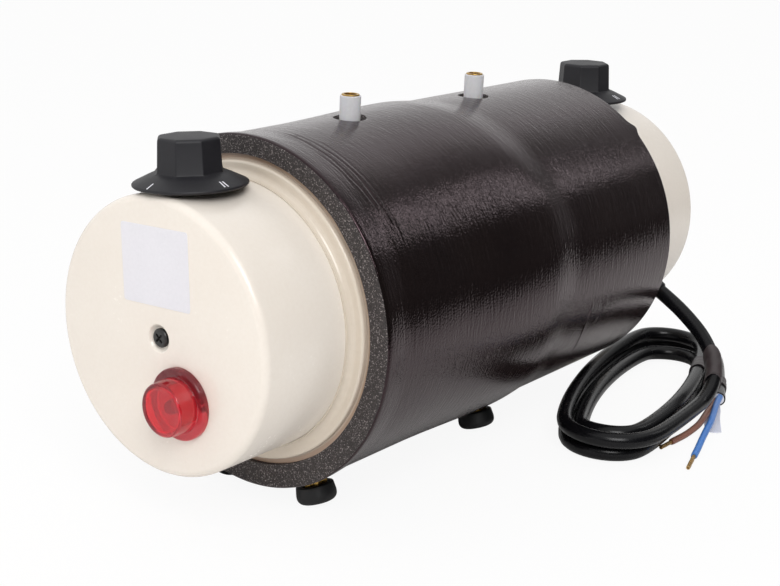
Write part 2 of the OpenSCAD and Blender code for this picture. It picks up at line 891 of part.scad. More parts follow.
module foot_screws() {
  root = shell_in - insert_depth + insert_floor + rest;
  length = foot_end - foot_sole - root;
  color(brass) place() each_foot() translate([0, 0, root]) cylinder(h = length, r = foot_screw_d / 2);
}

module foot_nuts() {
  color(brass) place() each_foot() translate([0, 0, foot_top + foot_recess - foot_nut_t]) difference() {
    cylinder(h = foot_nut_t, r = foot_nut_r, $fn = 6);
    translate([0, 0, -1]) cylinder(h = foot_nut_t + 2, r = foot_screw_d / 2 + fit);
  }
}

// Rubber cups, pressed flat where they stand on the floor
module rubber_feet() {
  edge = 0.8;
  depth = foot_end - foot_top - foot_sole;
  color(black) difference() {
    place() each_foot() difference() {
      rotate_extrude() polygon(concat(
        [[0, foot_top]],
        arc([foot_r - 0.6 - edge, foot_top + edge], edge, -90, 0, 3),
        arc([foot_r - foot_round, foot_end - foot_round], foot_round, 0, 90, 6),
        [[0, foot_end]]
      ));
      translate([0, 0, foot_top - 1]) cylinder(h = 1 + foot_recess, r = foot_nut_r + rest);
      translate([0, 0, foot_top]) cylinder(h = depth + rest, r = foot_screw_d / 2 + fit);
    }
    translate([-tank_r, -tank_len, -20]) cube([tank_d, 2 * tank_len, 20]);
  }
}

// Cord

function unit(v) = v / norm(v);
function heading(p, i) = unit(p[min(i + 1, len(p) - 1)] - p[max(i - 1, 0)]);

// Ring of points round a path's point i, square to the path
function ring(p, i, r, sides, up) =
  let (t = heading(p, i), n = unit(cross(up, t)), b = cross(t, n))
  [for (j = [0:sides - 1]) p[i] + r * (cos(360 * j / sides) * n + sin(360 * j / sides) * b)];

// Tube swept along a path, of triangles
module tube(p, d, sides, up = [0, 0, 1]) {
  n = len(p);
  points = [for (i = [0:n - 1]) each ring(p, i, d / 2, sides, up)];
  walls = [for (i = [0:n - 2], j = [0:sides - 1])
    let (a = i * sides + j, b = i * sides + (j + 1) % sides)
    each [[a, b, a + sides], [b, b + sides, a + sides]]];
  first = [for (j = [1:sides - 2]) [0, j + 1, j]];
  last = [for (j = [1:sides - 2]) [0, j, j + 1] + [1, 1, 1] * (n - 1) * sides];
  polyhedron(points, concat(walls, first, last));
}

// An oval of four arcs, drawn in by s: the runs are arcs about points beside it, and the ends are round.
// The more it is drawn in, the shorter it is and the further it slips to the near end
function end_at(s) = hank_half_l - hank_end_r - hank_fan * s;
function run_at(s) = (pow(end_at(s), 2) - pow(hank_bulge, 2)) / (2 * hank_bulge);
function run_angle(s) = atan(end_at(s) / run_at(s));

// Direction that the oval faces after u turns, with its rings shared out between the runs and the ends
half_rings = hank_rings / 2;
function facing(u, run) =
  let (q = (u - floor(u)) * hank_rings + run_rings / 2, p = q % half_rings)
  let (swing = q % hank_rings < half_rings ? 0 : -180)
  p < run_rings ? swing + run - 2 * run * p / run_rings :
  swing - run - (180 - 2 * run) * (p - run_rings) / (half_rings - run_rings);

function wrapped(a) = a <= -180 ? wrapped(a + 360) : a;
function oval(a, s) =
  let (f = wrapped(a), d = [cos(f), sin(f)], c = run_at(s), run = run_angle(s))
  abs(f) <= run ? [-c, 0] + (c + hank_half_w - s) * d :
  abs(f) >= 180 - run ? [c, 0] + (c + hank_half_w - s) * d :
  [0, sign(f) * end_at(s)] + (hank_end_r - s) * d;

// Loops lie on two layers: inwards on the upper one, down where they reverse, and out again below
hank_reverse = hank_turns / 2;
function drawn_in(u) = hank_step * (u < hank_reverse ? u : hank_turns - u);
function loop_at(u) = let (s = drawn_in(u)) oval(facing(u, run_angle(s)), s) - [0, hank_slip * s];
function layer_z(u) = hank_floor + cord_r + hank_layer * swell(0.5 + (hank_reverse - u) * 2);
function turned(p, a) = [p[0] * cos(a) - p[1] * sin(a), p[0] * sin(a) + p[1] * cos(a)];
function hank_point(u) =
  let (p = hank_centre + turned(loop_at(u), hank_turn)) [p[0], p[1], layer_z(u)];

hank_steps = round(hank_turns * hank_rings);
hank_loops = [for (i = [hank_first:hank_steps]) hank_point(hank_turns * i / hank_steps)];
loop_end = len(hank_loops) - 1;
hank_path = concat(
  [hank_loops[0] - cord_d * unit(hank_loops[1] - hank_loops[0])],
  hank_loops,
  [hank_loops[loop_end] + hank_tail * unit(hank_loops[loop_end] - hank_loops[loop_end - 1])]
);

// Least gap between two stretches of the loops, and the cord's length
function beside(p, i, j) =
  let (d = p[j + 1] - p[j], t = min(max((p[i] - p[j]) * d / (d * d), 0), 1)) norm(p[i] - p[j] - t * d);
hank_last = len(hank_path) - 1;
hank_apart = [for (i = [0:hank_last], j = [i + 6:hank_last - 1]) beside(hank_path, i, j)];
function path_len(p, i = 1) = i == len(p) ? 0 : norm(p[i] - p[i - 1]) + path_len(p, i + 1);
echo(hank_gap = min(hank_apart) - cord_d, cord_len = path_len(lead_route) + path_len(hank_path));

module cord_lead() {
  color(black) tube(concat(lead_route, [hank_path[0]]), cord_d, lead_sides, [0.6, 0.3, 0.7]);
}

module cord_coil() {
  color(black) tube(hank_path, cord_d, hank_sides);
}

// Band of tape round the loops and the cut end on one run of the hank
module cord_tape() {
  slack = 0.4;
  under = hank_floor - slack;
  in_h = hank_layer + cord_d + 2 * slack;
  color([0.12, 0.12, 0.13]) translate([hank_centre[0], hank_centre[1], under]) rotate([0, 0, hank_turn])
    translate([tape_side, tape_at, 0]) rotate([0, 0, tape_lean]) rotate([90, 0, 0])
    translate([0, 0, -tape_w / 2]) linear_extrude(tape_w) difference() {
      translate([-tape_span / 2 - tape_t, -under]) square([tape_span + 2 * tape_t, in_h + tape_t + under]);
      translate([-tape_span / 2, 0]) square([tape_span, in_h]);
    }
}

module blue_wire() {
  color([0.25, 0.45, 0.80]) tube(blue_route, wire_d, wire_sides, [0, 0, 1]);
}

module brown_wire() {
  color([0.55, 0.36, 0.28]) tube(brown_route, wire_d, wire_sides, [0, 0, 1]);
}

// Bare copper at the end of a wire
module bare_end(route, bare) {
  last = route[len(route) - 1];
  tube([last, last + bare * unit(last - route[len(route) - 2])], strand_d, wire_sides);
}

module wire_strands() {
  color([0.80, 0.62, 0.35]) {
    bare_end(blue_route, blue_bare);
    bare_end(brown_route, brown_bare);
  }
}

// Loose flap of the white filler under the wires
module cord_filler() {
  n = len(filler_route);
  function side_of(i) = filler_w / 2 * [-heading(filler_route, i)[1], heading(filler_route, i)[0]];
  left = [for (i = [0:n - 1]) filler_route[i] + side_of(i)];
  right = [for (i = [n - 1:-1:0]) filler_route[i] - side_of(i)];
  color(white) translate([0, 0, hank_floor + rest]) linear_extrude(filler_t) polygon(concat(left, right));
}

tank_shell();
tank_front_plate();
tank_rear_plate();
insulation_jacket();
front_cap();
rear_cap();
cap_screws();
screw_posts();
front_knob();
switch_shaft();
switch_body();
switch_nut();
rear_knob();
thermostat_shaft();
thermostat_body();
thermostat_nut();
capillary();
sensor_bulb();
sensor_pocket();
heater_flange();
heater_gasket();
flange_bolts();
heating_rods();
rod_terminals();
safety_cutout();
pilot_lens();
lamp_holder();
lamp_nut();
neon_lamp();
terminal_block();
cable_gland();
gland_nut();
cold_stub();
hot_stub();
stub_linings();
dip_tube();
foot_screws();
foot_nuts();
rubber_feet();
cord_lead();
cord_coil();
cord_tape();
blue_wire();
brown_wire();
wire_strands();
cord_filler();
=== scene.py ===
from math import atan, atan2, copysign, cos, degrees, pi, radians, sin, sqrt, tan

import bmesh
import bpy
import numpy as np
from mathutils import Matrix, Vector, noise


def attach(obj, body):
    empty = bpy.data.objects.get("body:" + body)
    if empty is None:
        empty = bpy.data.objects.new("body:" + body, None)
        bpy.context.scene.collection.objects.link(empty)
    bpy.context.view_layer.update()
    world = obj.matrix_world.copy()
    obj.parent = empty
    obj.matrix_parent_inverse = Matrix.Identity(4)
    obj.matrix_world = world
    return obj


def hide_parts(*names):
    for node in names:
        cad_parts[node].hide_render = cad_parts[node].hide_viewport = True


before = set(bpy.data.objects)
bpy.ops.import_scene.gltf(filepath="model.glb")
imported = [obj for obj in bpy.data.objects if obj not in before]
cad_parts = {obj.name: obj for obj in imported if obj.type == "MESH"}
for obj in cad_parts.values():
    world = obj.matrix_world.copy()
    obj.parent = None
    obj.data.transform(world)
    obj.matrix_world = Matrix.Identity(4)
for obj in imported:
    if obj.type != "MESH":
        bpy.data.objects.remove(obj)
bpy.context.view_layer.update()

scene = bpy.context.scene
scene.view_settings.view_transform = "Standard"

# sizes below are in mm; the tank's axis runs along Y, with y = 0 at the jacket's front edge
toMetres = Matrix.Scale(0.001, 4)
tank = dict(start=-112.5, axisHeight=84.4)
tankFrame = Matrix.Translation((0, tank["start"], tank["axisHeight"]))


# small tools
def srgb(code):
    parts = [int(code[i:i + 2], 16) / 255 for i in (1, 3, 5)]
    return tuple(p / 12.92 if p < 0.04045 else ((p + 0.055) / 1.055) ** 2.4 for p in parts) + (1.0,)


def swell(t):
    return (1 - np.cos(np.pi * np.clip(t, 0, 1))) / 2


def onTank(y, x=0, z=0):
    return tankFrame @ Matrix.Translation((x, y, z))


def turned(angle, axis):
    return Matrix.Rotation(radians(angle), 4, axis)


# fillets the inner corners of a profile; each point is (radius, height, fillet)
def rounded(points, steps=6):
    line = []
    for i, point in enumerate(points):
        here = Vector(point[:2])
        fillet = point[2] if len(point) > 2 else 0
        if not fillet or i in (0, len(points) - 1):
            line.append(tuple(here))
            continue
        before = (Vector(points[i - 1][:2]) - here).normalized()
        after = (Vector(points[i + 1][:2]) - here).normalized()
        half = before.angle(after) / 2
        reach = fillet / tan(half)
        centre = here + (before + after).normalized() * fillet / sin(half)
        start = here + before * reach - centre
        sweepAngle = start.angle_signed(here + after * reach - centre)
        for k in range(steps + 1):
            arm = start.copy()
            arm.rotate(Matrix.Rotation(-sweepAngle * k / steps, 2))
            line.append(tuple(centre + arm))
    return line


# faces between rings of vertices; a closed grid joins its last ring to its first
def gridFaces(rings, columns, closed=False):
    faces = []
    for j in range(rings if closed else rings - 1):
        low, high = j * columns, (j + 1) % rings * columns
        for k in range(columns):
            n = (k + 1) % columns
            faces.append((low + k, low + n, high + n, high + k))
    return faces


# turns a profile of (radius, height) about Z; a closed one joins its last point to its first
def lathe(profile, steps=96, closed=False):
    verts, rings, faces = [], [], []
    for radius, height in profile:
        count = steps if radius > 1e-6 else 1
        rings.append([len(verts) + k for k in range(count)])
        for k in range(count):
            a = 2 * pi * k / steps
            verts.append((radius * cos(a), radius * sin(a), height))
    pairs = list(zip(rings, rings[1:])) + ([(rings[-1], rings[0])] if closed else [])
    for low, high in pairs:
        for k in range(steps):
            corners = [low[k % len(low)], low[(k + 1) % len(low)]]
            corners += [high[(k + 1) % len(high)], high[k % len(high)]]
            corners = list(dict.fromkeys(corners))
            if len(corners) > 2:
                faces.append(corners)
    return verts, faces


# a tube along a path, with one radius for each point
def sweep(path, radii, sides=20):
    path = [Vector(p) for p in path]
    last = len(path) - 1
    verts = []
    side = Vector((0, 0, 1)).cross(path[1] - path[0]).normalized()
    for i, point in enumerate(path):
        along = (path[min(i + 1, last)] - path[max(i - 1, 0)]).normalized()
        side = (side - along * side.dot(along)).normalized()
        up = along.cross(side)
        for k in range(sides):
            a = 2 * pi * k / sides
            verts.append(point + float(radii[i]) * (cos(a) * side + sin(a) * up))
    faces = gridFaces(len(path), sides)
    faces += [tuple(reversed(range(sides))), tuple(range(last * sides, (last + 1) * sides))]
    return verts, faces


def joined(*shapes):
    verts, faces = [], []
    for spots, links in shapes:
        faces += [tuple(k + len(verts) for k in link) for link in links]
        verts += [Vector(spot) for spot in spots]
    return verts, faces


# a smooth line through the points, with a point about every step
def smoothLine(points, step):
    points = [np.array(p, float) for p in points]
    points = [2 * points[0] - points[1]] + points + [2 * points[-1] - points[-2]]
    line = []
    for a, b, c, d in zip(points, points[1:], points[2:], points[3:]):
        count = max(1, round(np.linalg.norm(c - b) / step))
        for k in range(count):
            t = k / count
            line.append(0.5 * (2 * b + (c - a) * t + (2 * a - 5 * b + 4 * c - d) * t ** 2
                               + (3 * b - 3 * c + d - a) * t ** 3))
    line.append(points[-2])
    return line


def addObject(name, data):
    made = bpy.data.objects.new(name, data)
    scene.collection.objects.link(made)
    return made


# a mesh object at the origin, its place in its mesh
def makePiece(name, shape, place, slot, angle=35):
    mesh = bpy.data.meshes.new(name)
    mesh.from_pydata([tuple(v) for v in shape[0]], [], [tuple(f) for f in shape[1]])
    build = bmesh.new()
    build.from_mesh(mesh)
    bmesh.ops.remove_doubles(build, verts=build.verts, dist=1e-4)
    bmesh.ops.recalc_face_normals(build, faces=build.faces)
    build.to_mesh(mesh)
    build.free()
    mesh.transform(toMetres @ place)
    mesh.shade_smooth()
    mesh.set_sharp_from_angle(angle=radians(angle))
    mesh.materials.append(finishes[slot])
    return addObject(name, mesh)


# turns what the modifiers make into the object's own mesh
def settle(piece):
    graph = bpy.context.evaluated_depsgraph_get()
    mesh = bpy.data.meshes.new_from_object(piece.evaluated_get(graph), depsgraph=graph)
    piece.modifiers.clear()
    piece.data = mesh
    mesh.name = piece.name
    return piece


# a cutter for a round hole; the hole takes the cutter's finish
def drill(place, radius, low, high, slot, flare=0, steps=48):
    shape = lathe([(0, low), (radius, low), (radius + flare, high), (0, high)], steps)
    return makePiece("drill", shape, place, slot)


def cutAway(piece, cutters):
    for cutter in cutters:
        cut = piece.modifiers.new("hole", "BOOLEAN")
        cut.object = cutter
        cut.operation = "DIFFERENCE"
        cut.solver = "EXACT"
        cut.material_mode = "TRANSFER"
    settle(piece)
    for cutter in cutters:
        bpy.data.objects.remove(cutter)
    return piece


def handOver(piece, body, slot, *nodes):
    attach(piece, body)
    if nodes:
        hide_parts(*nodes)
    return piece


# camera
view = dict(
    eye=(0.4138, -0.5545, 0.2802), yaw=37.488, pitch=17.076, roll=2.517, lens=70.47, sensor=36, near=0.01,
)


def makeCamera():
    data = bpy.data.cameras.new("camera")
    data.sensor_width = view["sensor"]
    data.lens = view["lens"]
    data.clip_start = view["near"]
    scene.camera = addObject("camera", data)
    facing = turned(view["yaw"], "Z") @ turned(90 - view["pitch"], "X") @ turned(view["roll"], "Z")
    scene.camera.matrix_world = Matrix.Translation(view["eye"]) @ facing


makeCamera()
print("camera set")


# adds a node with its settings and its inputs, which are values or links, and returns its outputs
def addNode(tree, kind, inputs=None, **settings):
    made = tree.nodes.new(kind)
    for key, value in settings.items():
        setattr(made, key, value)
    for key, value in (inputs or {}).items():
        if isinstance(value, bpy.types.NodeSocket):
            tree.links.new(value, made.inputs[key])
        else:
            made.inputs[key].default_value = value
    return made.outputs


# finishes; the sizes of their patterns are in mm
def newFinish(name, sockets):
    finish = bpy.data.materials.new(name)
    finish.use_nodes = True
    skin = finish.node_tree.nodes["Principled BSDF"]
    for key, value in sockets.items():
        skin.inputs[key].default_value = value
    return finish, finish.node_tree, skin


# links colour, roughness and relief to a skin
def dress(tree, skin, colour, rough=None, height=None, strength=1, depth=0):
    links = {"Base Color": colour, "Roughness": rough}
    if height is not None:
        inputs = {"Height": height, "Strength": strength, "Distance": depth / 1000}
        links["Normal"] = addNode(tree, "ShaderNodeBump", inputs)[0]
    for key, output in links.items():
        if output is not None:
            tree.links.new(output, skin.inputs[key])


# the broad spots' width in grains and their share, the part of the noise that is used, the bump's strength
grained = dict(broad=50 / 3, share=0.5, low=0.3, high=0.7, strength=0.5)


# grain of a moulded, cast or painted surface: two close colours, roughness and a shallow bump
def grainedFinish(name, dark, pale, rough, grain, bump, sockets, stretch=(1, 1, 1)):
    size = grained
    finish, tree, skin = newFinish(name, sockets)
    place = addNode(tree, "ShaderNodeTexCoord")["Object"]
    spread = addNode(tree, "ShaderNodeMapping", {"Vector": place, "Scale": stretch})[0]
    fine = addNode(tree, "ShaderNodeTexNoise", {"Vector": spread, "Scale": 1000 / grain, "Detail": 3})[0]
    broad = addNode(tree, "ShaderNodeTexNoise",
                    {"Vector": spread, "Scale": 1000 / (grain * size["broad"]), "Detail": 2})[0]
    both = addNode(tree, "ShaderNodeMix", {0: size["share"], 2: fine, 3: broad})[0]
    spot = addNode(tree, "ShaderNodeMapRange",
                   {"Value": both, "From Min": size["low"], "From Max": size["high"]})[0]
    tint = addNode(tree, "ShaderNodeMix", {0: spot, 6: srgb(dark), 7: srgb(pale)}, data_type="RGBA")[2]
    sheen = addNode(tree, "ShaderNodeMapRange", {"Value": spot, "To Min": rough[0], "To Max": rough[1]})[0]
    dress(tree, skin, tint, sheen, fine, size["strength"], bump)
    return finish


foamSkin = dict(
    # (size round the tank, size along it, detail); the grains are drawn coarser than the real cells
    ridges=(8.3333, 1.2048, 3), wrinkles=(16.667, 2.5, 2), grain=(1, 1, 1), patches=(45.455, 26.316, 3),
    wrinkleShare=0.4, grainShare=0.3, depth=0.36, dullLow=0.3, dullHigh=0.7, rough=(0.08, 0.13),
    sockets={"IOR": 1.47, "Specular Tint": (1.0, 0.68, 0.77, 1), "Sheen Weight": 0.025,
             "Sheen Tint": (1.0, 0.6, 0.65, 1)},
)


# closed-cell foam with its moulded skin: near black, glossy, with hair-fine glittering ridges round the tank
def foamSkinFinish():
    size = foamSkin
    finish, tree, skin = newFinish("foam_moulded_skin", size["sockets"])
    wrapped = addNode(tree, "ShaderNodeTexCoord")["UV"]  # metres round the tank and along it
    layers = {}
    for name in ("ridges", "wrinkles", "grain", "patches"):
        around, along, detail = size[name]
        spread = addNode(tree, "ShaderNodeMapping",
                         {"Vector": wrapped, "Scale": (1000 / around, 1000 / along, 1)})[0]
        inputs = {"Vector": spread, "Scale": 1, "Detail": detail}
        layers[name] = addNode(tree, "ShaderNodeTexNoise", inputs)[0]
    lines = addNode(tree, "ShaderNodeMix",
                    {0: size["wrinkleShare"], 2: layers["ridges"], 3: layers["wrinkles"]})[0]
    height = addNode(tree, "ShaderNodeMix", {0: size["grainShare"], 2: lines, 3: layers["grain"]})[0]
    tone = addNode(tree, "ShaderNodeMix",
                   {0: layers["patches"], 6: srgb("#0a0808"), 7: srgb("#130f0d")}, data_type="RGBA")[2]
    sheen = addNode(tree, "ShaderNodeMapRange",
                    {"Value": layers["patches"], "From Min": size["dullLow"], "From Max": size["dullHigh"],
                     "To Min": size["rough"][0], "To Max": size["rough"][1]})[0]
    dress(tree, skin, tone, sheen, height, 1, size["depth"])
    return finish


foamCut = dict(cell=0.7143, glintNoise=0.55556, glintLow=0.57, glintHigh=0.72, strength=0.6, depth=0.4)


# the same foam where it is cut: dull dark grey, open cells, with painted glints: pale specks in its colour
def foamCutFinish():
    size = foamCut
    finish, tree, skin = newFinish("foam_cut", {"IOR": 1.5, "Roughness": 0.75})
    place = addNode(tree, "ShaderNodeTexCoord")["Object"]
    cells = addNode(tree, "ShaderNodeTexVoronoi", {"Vector": place, "Scale": 1000 / size["cell"]})["Distance"]
    glintNoise = addNode(tree, "ShaderNodeTexNoise",
                   {"Vector": place, "Scale": 1000 / size["glintNoise"], "Detail": 2})[0]
    # painted glints: pale specks mixed into the colour
    glint = addNode(tree, "ShaderNodeMapRange",
                    {"Value": glintNoise, "From Min": size["glintLow"], "From Max": size["glintHigh"]})[0]
    tone = addNode(tree, "ShaderNodeMix",
                   {0: cells, 6: srgb("#211d1d"), 7: srgb("#3f3939")}, data_type="RGBA")[2]
    tint = addNode(tree, "ShaderNodeMix", {0: glint, 6: tone, 7: srgb("#9a9290")}, data_type="RGBA")[2]
    dress(tree, skin, tint, None, cells, size["strength"], size["depth"])
    return finish


acrylic = dict(cloud=5.5556, rough=(0.03, 0.07), sockets={"IOR": 1.49, "Transmission Weight": 0.86})


# cast red acrylic: light goes in and comes back red, a glossy face
def redAcrylicFinish():
    finish, tree, skin = newFinish("red_acrylic", acrylic["sockets"])
    place = addNode(tree, "ShaderNodeTexCoord")["Object"]
    cloud = addNode(tree, "ShaderNodeTexNoise",
                    {"Vector": place, "Scale": 1000 / acrylic["cloud"], "Detail": 2})[0]
    tint = addNode(tree, "ShaderNodeMix",
                   {0: cloud, 6: srgb("#ff4252"), 7: srgb("#ff5767")}, data_type="RGBA")[2]
    low, high = acrylic["rough"]
    sheen = addNode(tree, "ShaderNodeMapRange", {"Value": cloud, "To Min": low, "To Max": high})[0]
    dress(tree, skin, tint, sheen)
    return finish


# painted brown shade on the enamel where the foam meets it, between two distances from the tank's axis
def paintedEdgeShade(finish, hexed, start, end):
    tree = finish.node_tree
    colour = tree.nodes["Principled BSDF"].inputs["Base Color"]
    plain = colour.links[0].from_socket
    place = addNode(tree, "ShaderNodeTexCoord")["Object"]
    axis = toMetres @ tankFrame @ Vector()
    arm = addNode(tree, "ShaderNodeVectorMath", {0: place, 1: axis}, operation="SUBTRACT")[0]
    flat = addNode(tree, "ShaderNodeVectorMath", {0: arm, 1: (1, 0, 1)}, operation="MULTIPLY")[0]
    reach = addNode(tree, "ShaderNodeVectorMath", {0: flat}, operation="LENGTH")["Value"]
    amount = addNode(tree, "ShaderNodeMapRange",
                     {"Value": reach, "From Min": start / 1000, "From Max": end / 1000})[0]
    tint = addNode(tree, "ShaderNodeMix", {0: amount, 6: plain, 7: srgb(hexed)}, data_type="RGBA")[2]
    tree.links.new(tint, colour)


# each slot's name, dark and pale colour, roughness, grain and bump in mm, other sockets, stretch of the grain
looks = {
    # moulded ABS, semi-gloss, a faint orange peel
    "cream_plastic": ("abs_cream_moulded", "#ebe2d7", "#efe7dd", (0.2, 0.28), 1.6, 0.015, {"IOR": 1.53}),
    # stoved enamel on steel, yellower than the caps; its colour is darkened below the caps' as painted shade
    # of the recess between cap and foam
    "cream_metal": ("enamel_cream", "#d4c8b8", "#d9cebf", (0.2, 0.26), 2.2, 0.01, {"IOR": 1.52}),
    # phenolic knob plastic, satin, fine spark-eroded grain
    "black_plastic": ("phenolic_black_satin", "#121116", "#1a191f", (0.48, 0.6), 0.7, 0.03, {"IOR": 1.48}),
    # blackened steel, oily sheen
    "black_screw": ("steel_black_oxide", "#1b1a1a", "#2a2827", (0.3, 0.45), 0.6, 0.03, {}),
    # natural nylon pipe, milky
    "white_plastic": ("nylon_natural", "#d9d1d1", "#e3dcdc", (0.35, 0.45), 1.2, 0.02,
                      {"IOR": 1.53, "Subsurface Weight": 0.15}),
    # turned brass, tool marks round the axis
    "brass": ("brass_turned", "#a8843f", "#c9a55c", (0.2, 0.35), 0.5, 0.02, {"Metallic": 1}, (1, 1, 6)),
    # zinc-plated steel, pale grey and even
    "steel": ("steel_zinc_plated", "#b4b6b8", "#c9cbcc", (0.25, 0.4), 0.6, 0.02, {"Metallic": 1}),
    # drawn copper wire, slightly tarnished
    "copper": ("copper_drawn", "#b08a54", "#d8b983", (0.25, 0.4), 0.5, 0.02, {"Metallic": 1}),
    # unglazed steatite, chalky
    "ceramic": ("steatite_unglazed", "#ddd8cb", "#ece8dd", (0.6, 0.75), 0.5, 0.04, {"IOR": 1.6}),
    # neon bulb glass, clear with a warm cast
    "glass": ("glass_bulb", "#f4d8c4", "#f8e2d2", (0.03, 0.06), 3, 0.01,
              {"IOR": 1.5, "Transmission Weight": 0.9}),
    # nitrile gasket, dull black
    "gasket_rubber": ("nitrile_gasket", "#171717", "#222222", (0.6, 0.75), 0.8, 0.05, {"IOR": 1.52}),
    # moulded rubber feet, matt
    "foot_rubber": ("rubber_foot", "#0d0d0f", "#151518", (0.45, 0.6), 0.8, 0.04, {"IOR": 1.52}),
    # extruded rubber sheath, smooth with a soft shine
    "cord_rubber": ("rubber_sheath", "#09090b", "#101013", (0.22, 0.3), 1, 0.012, {"IOR": 1.33}),
    # PVC tape, brownish, pressed smooth
    "tape": ("pvc_tape", "#332c2d", "#413839", (0.4, 0.5), 1.4, 0.04, {"IOR": 1.53}),
    # PVC of the two cores, satin
    "blue_wire": ("pvc_blue", "#3f78c6", "#4b86d4", (0.35, 0.45), 1, 0.02, {"IOR": 1.53}),
    "brown_wire": ("pvc_brown", "#8a5c4c", "#9a6b59", (0.4, 0.5), 1, 0.02, {"IOR": 1.53}),
    # talced paper, bluish white and dry
    "filler": ("talc_paper", "#dfe1ee", "#eceef6", (0.6, 0.75), 0.9, 0.06, {"IOR": 1.46}),
    # vinyl sticker, cooler than the cap
    "label": ("vinyl_label_blank", "#e0dee3", "#e7e5ea", (0.35, 0.45), 1.5, 0.02, {"IOR": 1.5}),
    # white ink in the knobs' skirts, matt
    "mark": ("ink_white", "#dcdce4", "#ececf2", (0.5, 0.6), 0.5, 0.02, {"IOR": 1.5}),
}
finishes = {"foam": foamSkinFinish(), "foamCut": foamCutFinish(), "red_lens": redAcrylicFinish()}
for slot, look in looks.items():
    finishes[slot] = grainedFinish(*look)
# the enamel's rim next to the foam gets painted brown shade
paintedEdgeShade(finishes["cream_metal"], "#b49a86", 63.2, 64.4)
print("finishes made:", len(finishes))


# node groups
def newGroup(name, **inputs):
    tree = bpy.data.node_groups.new(name, "GeometryNodeTree")
    sockets = {}
    for key, kind in inputs.items():
        made = tree.interface.new_socket(key, in_out="INPUT", socket_type="NodeSocket" + kind)
        sockets[key] = made.identifier
    tree.interface.new_socket("Made", in_out="OUTPUT", socket_type="NodeSocketGeometry")
    return tree, sockets, addNode(tree, "NodeGroupInput")


def endGroup(tree, geometry, finish):
    real = addNode(tree, "GeometryNodeRealizeInstances", {0: geometry})[0]
    done = addNode(tree, "GeometryNodeSetMaterial", {"Geometry": real, "Material": finish})
    addNode(tree, "NodeGroupOutput", {0: done[0]})


# what a group makes of a mesh, as an object of its own
def runGroup(name, mesh, group, **values):
    tree, sockets = group
    piece = addObject(name, mesh)
    work = piece.modifiers.new("nodes", "NODES")
    work.node_group = tree
    for key, value in values.items():
        work[sockets[key]] = value
    return settle(piece)


# cord
cord = dict(
    diameter=7.5, step=2, samples=720, facets=6,
    lead=[(50.98, 135.5, 58.91), (60.37, 135.5, 54.21), (74.2, 134.9, 46.7), (86.5, 132.7, 38.9),
          (94.1, 129.7, 32.9), (99.5, 125.9, 27.6), (103.1, 121.4, 23.1), (105.2, 116.3, 19.3),
          (106.4, 110.7, 16.4), (106.9, 104.9, 14.3), (107.2, 98.9, 13.1)],
    centre=(68.6, 112.9), turn=15.6, halfWidth=33.4, halfLength=92.9, endRadius=26.4,
    inward=8.4, fan=0.58, slip=0.47, layer=8.2, floor=0.8, start=1 / 24, turns=2.95,
    tail=32, softening=12,
)


# a point of the loops after u turns: inwards on the upper layer, then down, and out again on the lower
def hankPoint(u):
    drawn = cord["inward"] * min(u, cord["turns"] - u)
    # an oval of four arcs; the more it is drawn in, the shorter it is and the nearer it slips
    endY = cord["halfLength"] - cord["endRadius"] - cord["fan"] * drawn
    bulge = cord["halfWidth"] - cord["endRadius"]
    sideX = (endY ** 2 - bulge ** 2) / (2 * bulge)
    runAngle = degrees(atan(endY / sideX))
    # the first third of each half turn goes along a run, the rest round an end
    parts = 3
    done = (u % 1) * 2 * parts + 0.5
    swing = 0 if done % (2 * parts) < parts else -180
    part = done % parts
    if part < 1:
        facing = swing + runAngle * (1 - 2 * part)
    else:
        facing = swing - runAngle - (90 - runAngle) * (part - 1)
    facing = (facing + 180) % 360 - 180
    away = Vector((cos(radians(facing)), sin(radians(facing))))
    if runAngle < abs(facing) < 180 - runAngle:
        spot = Vector((0, copysign(endY, facing))) + (cord["endRadius"] - drawn) * away
    else:
        middle = -sideX if abs(facing) <= runAngle else sideX
        spot = Vector((middle, 0)) + (sideX + cord["halfWidth"] - drawn) * away
    spot.y -= cord["slip"] * drawn
    spot = Matrix.Rotation(radians(cord["turn"]), 2) @ spot + Vector(cord["centre"])
    lift = swell(0.5 + (cord["turns"] / 2 - u) * 2)
    return np.array((spot.x, spot.y, cord["floor"] + cord["diameter"] / 2 + cord["layer"] * lift))


def hankLoops():
    turns = np.linspace(cord["start"], cord["turns"], cord["samples"])
    loops = np.array([hankPoint(float(u)) for u in turns])
    # the rubber evens out the bends where a run meets an end
    apart = np.linalg.norm(loops[1:] - loops[:-1], axis=1).mean()
    for _ in range(round(2 * (cord["softening"] / apart) ** 2)):
        loops[1:-1] = (loops[:-2] + 2 * loops[1:-1] + loops[2:]) / 4
    tail = loops[-1] - loops[-2]
    return list(loops[::2]) + [loops[-1], loops[-1] + cord["tail"] * tail / np.linalg.norm(tail)]


cordLine = smoothLine(cord["lead"] + hankLoops(), cord["step"])


def makeCord():
    data = bpy.data.curves.new("cord", "CURVE")
    data.dimensions = "3D"
    data.bevel_depth = cord["diameter"] / 2000
    data.bevel_resolution = cord["facets"]
    data.use_fill_caps = True
    spline = data.splines.new("POLY")
    spline.points.add(len(cordLine) - 1)
    for point, spot in zip(spline.points, cordLine):
        point.co = (*(spot / 1000), 1)
    spline.use_smooth = True
    data.materials.append(finishes["cord_rubber"])
    return handOver(addObject("cord", data), "heater", "cord_rubber", "cord_lead", "cord_coil")


cordPiece = makeCord()

tape = dict(
    along=32, aside=27.5, lean=8, reach=9, width=13, thick=0.5, sides=64, columns=9, slack=0.15,
    crinkle=0.3, ripple=1.3, ripplePhase=0.3, lowest=0.25, sunk=0.4, steepest=0.5,
)
wrap = dict(at=(102.4, 122.4), way=(0.58, -0.81), reach=6, low=9)


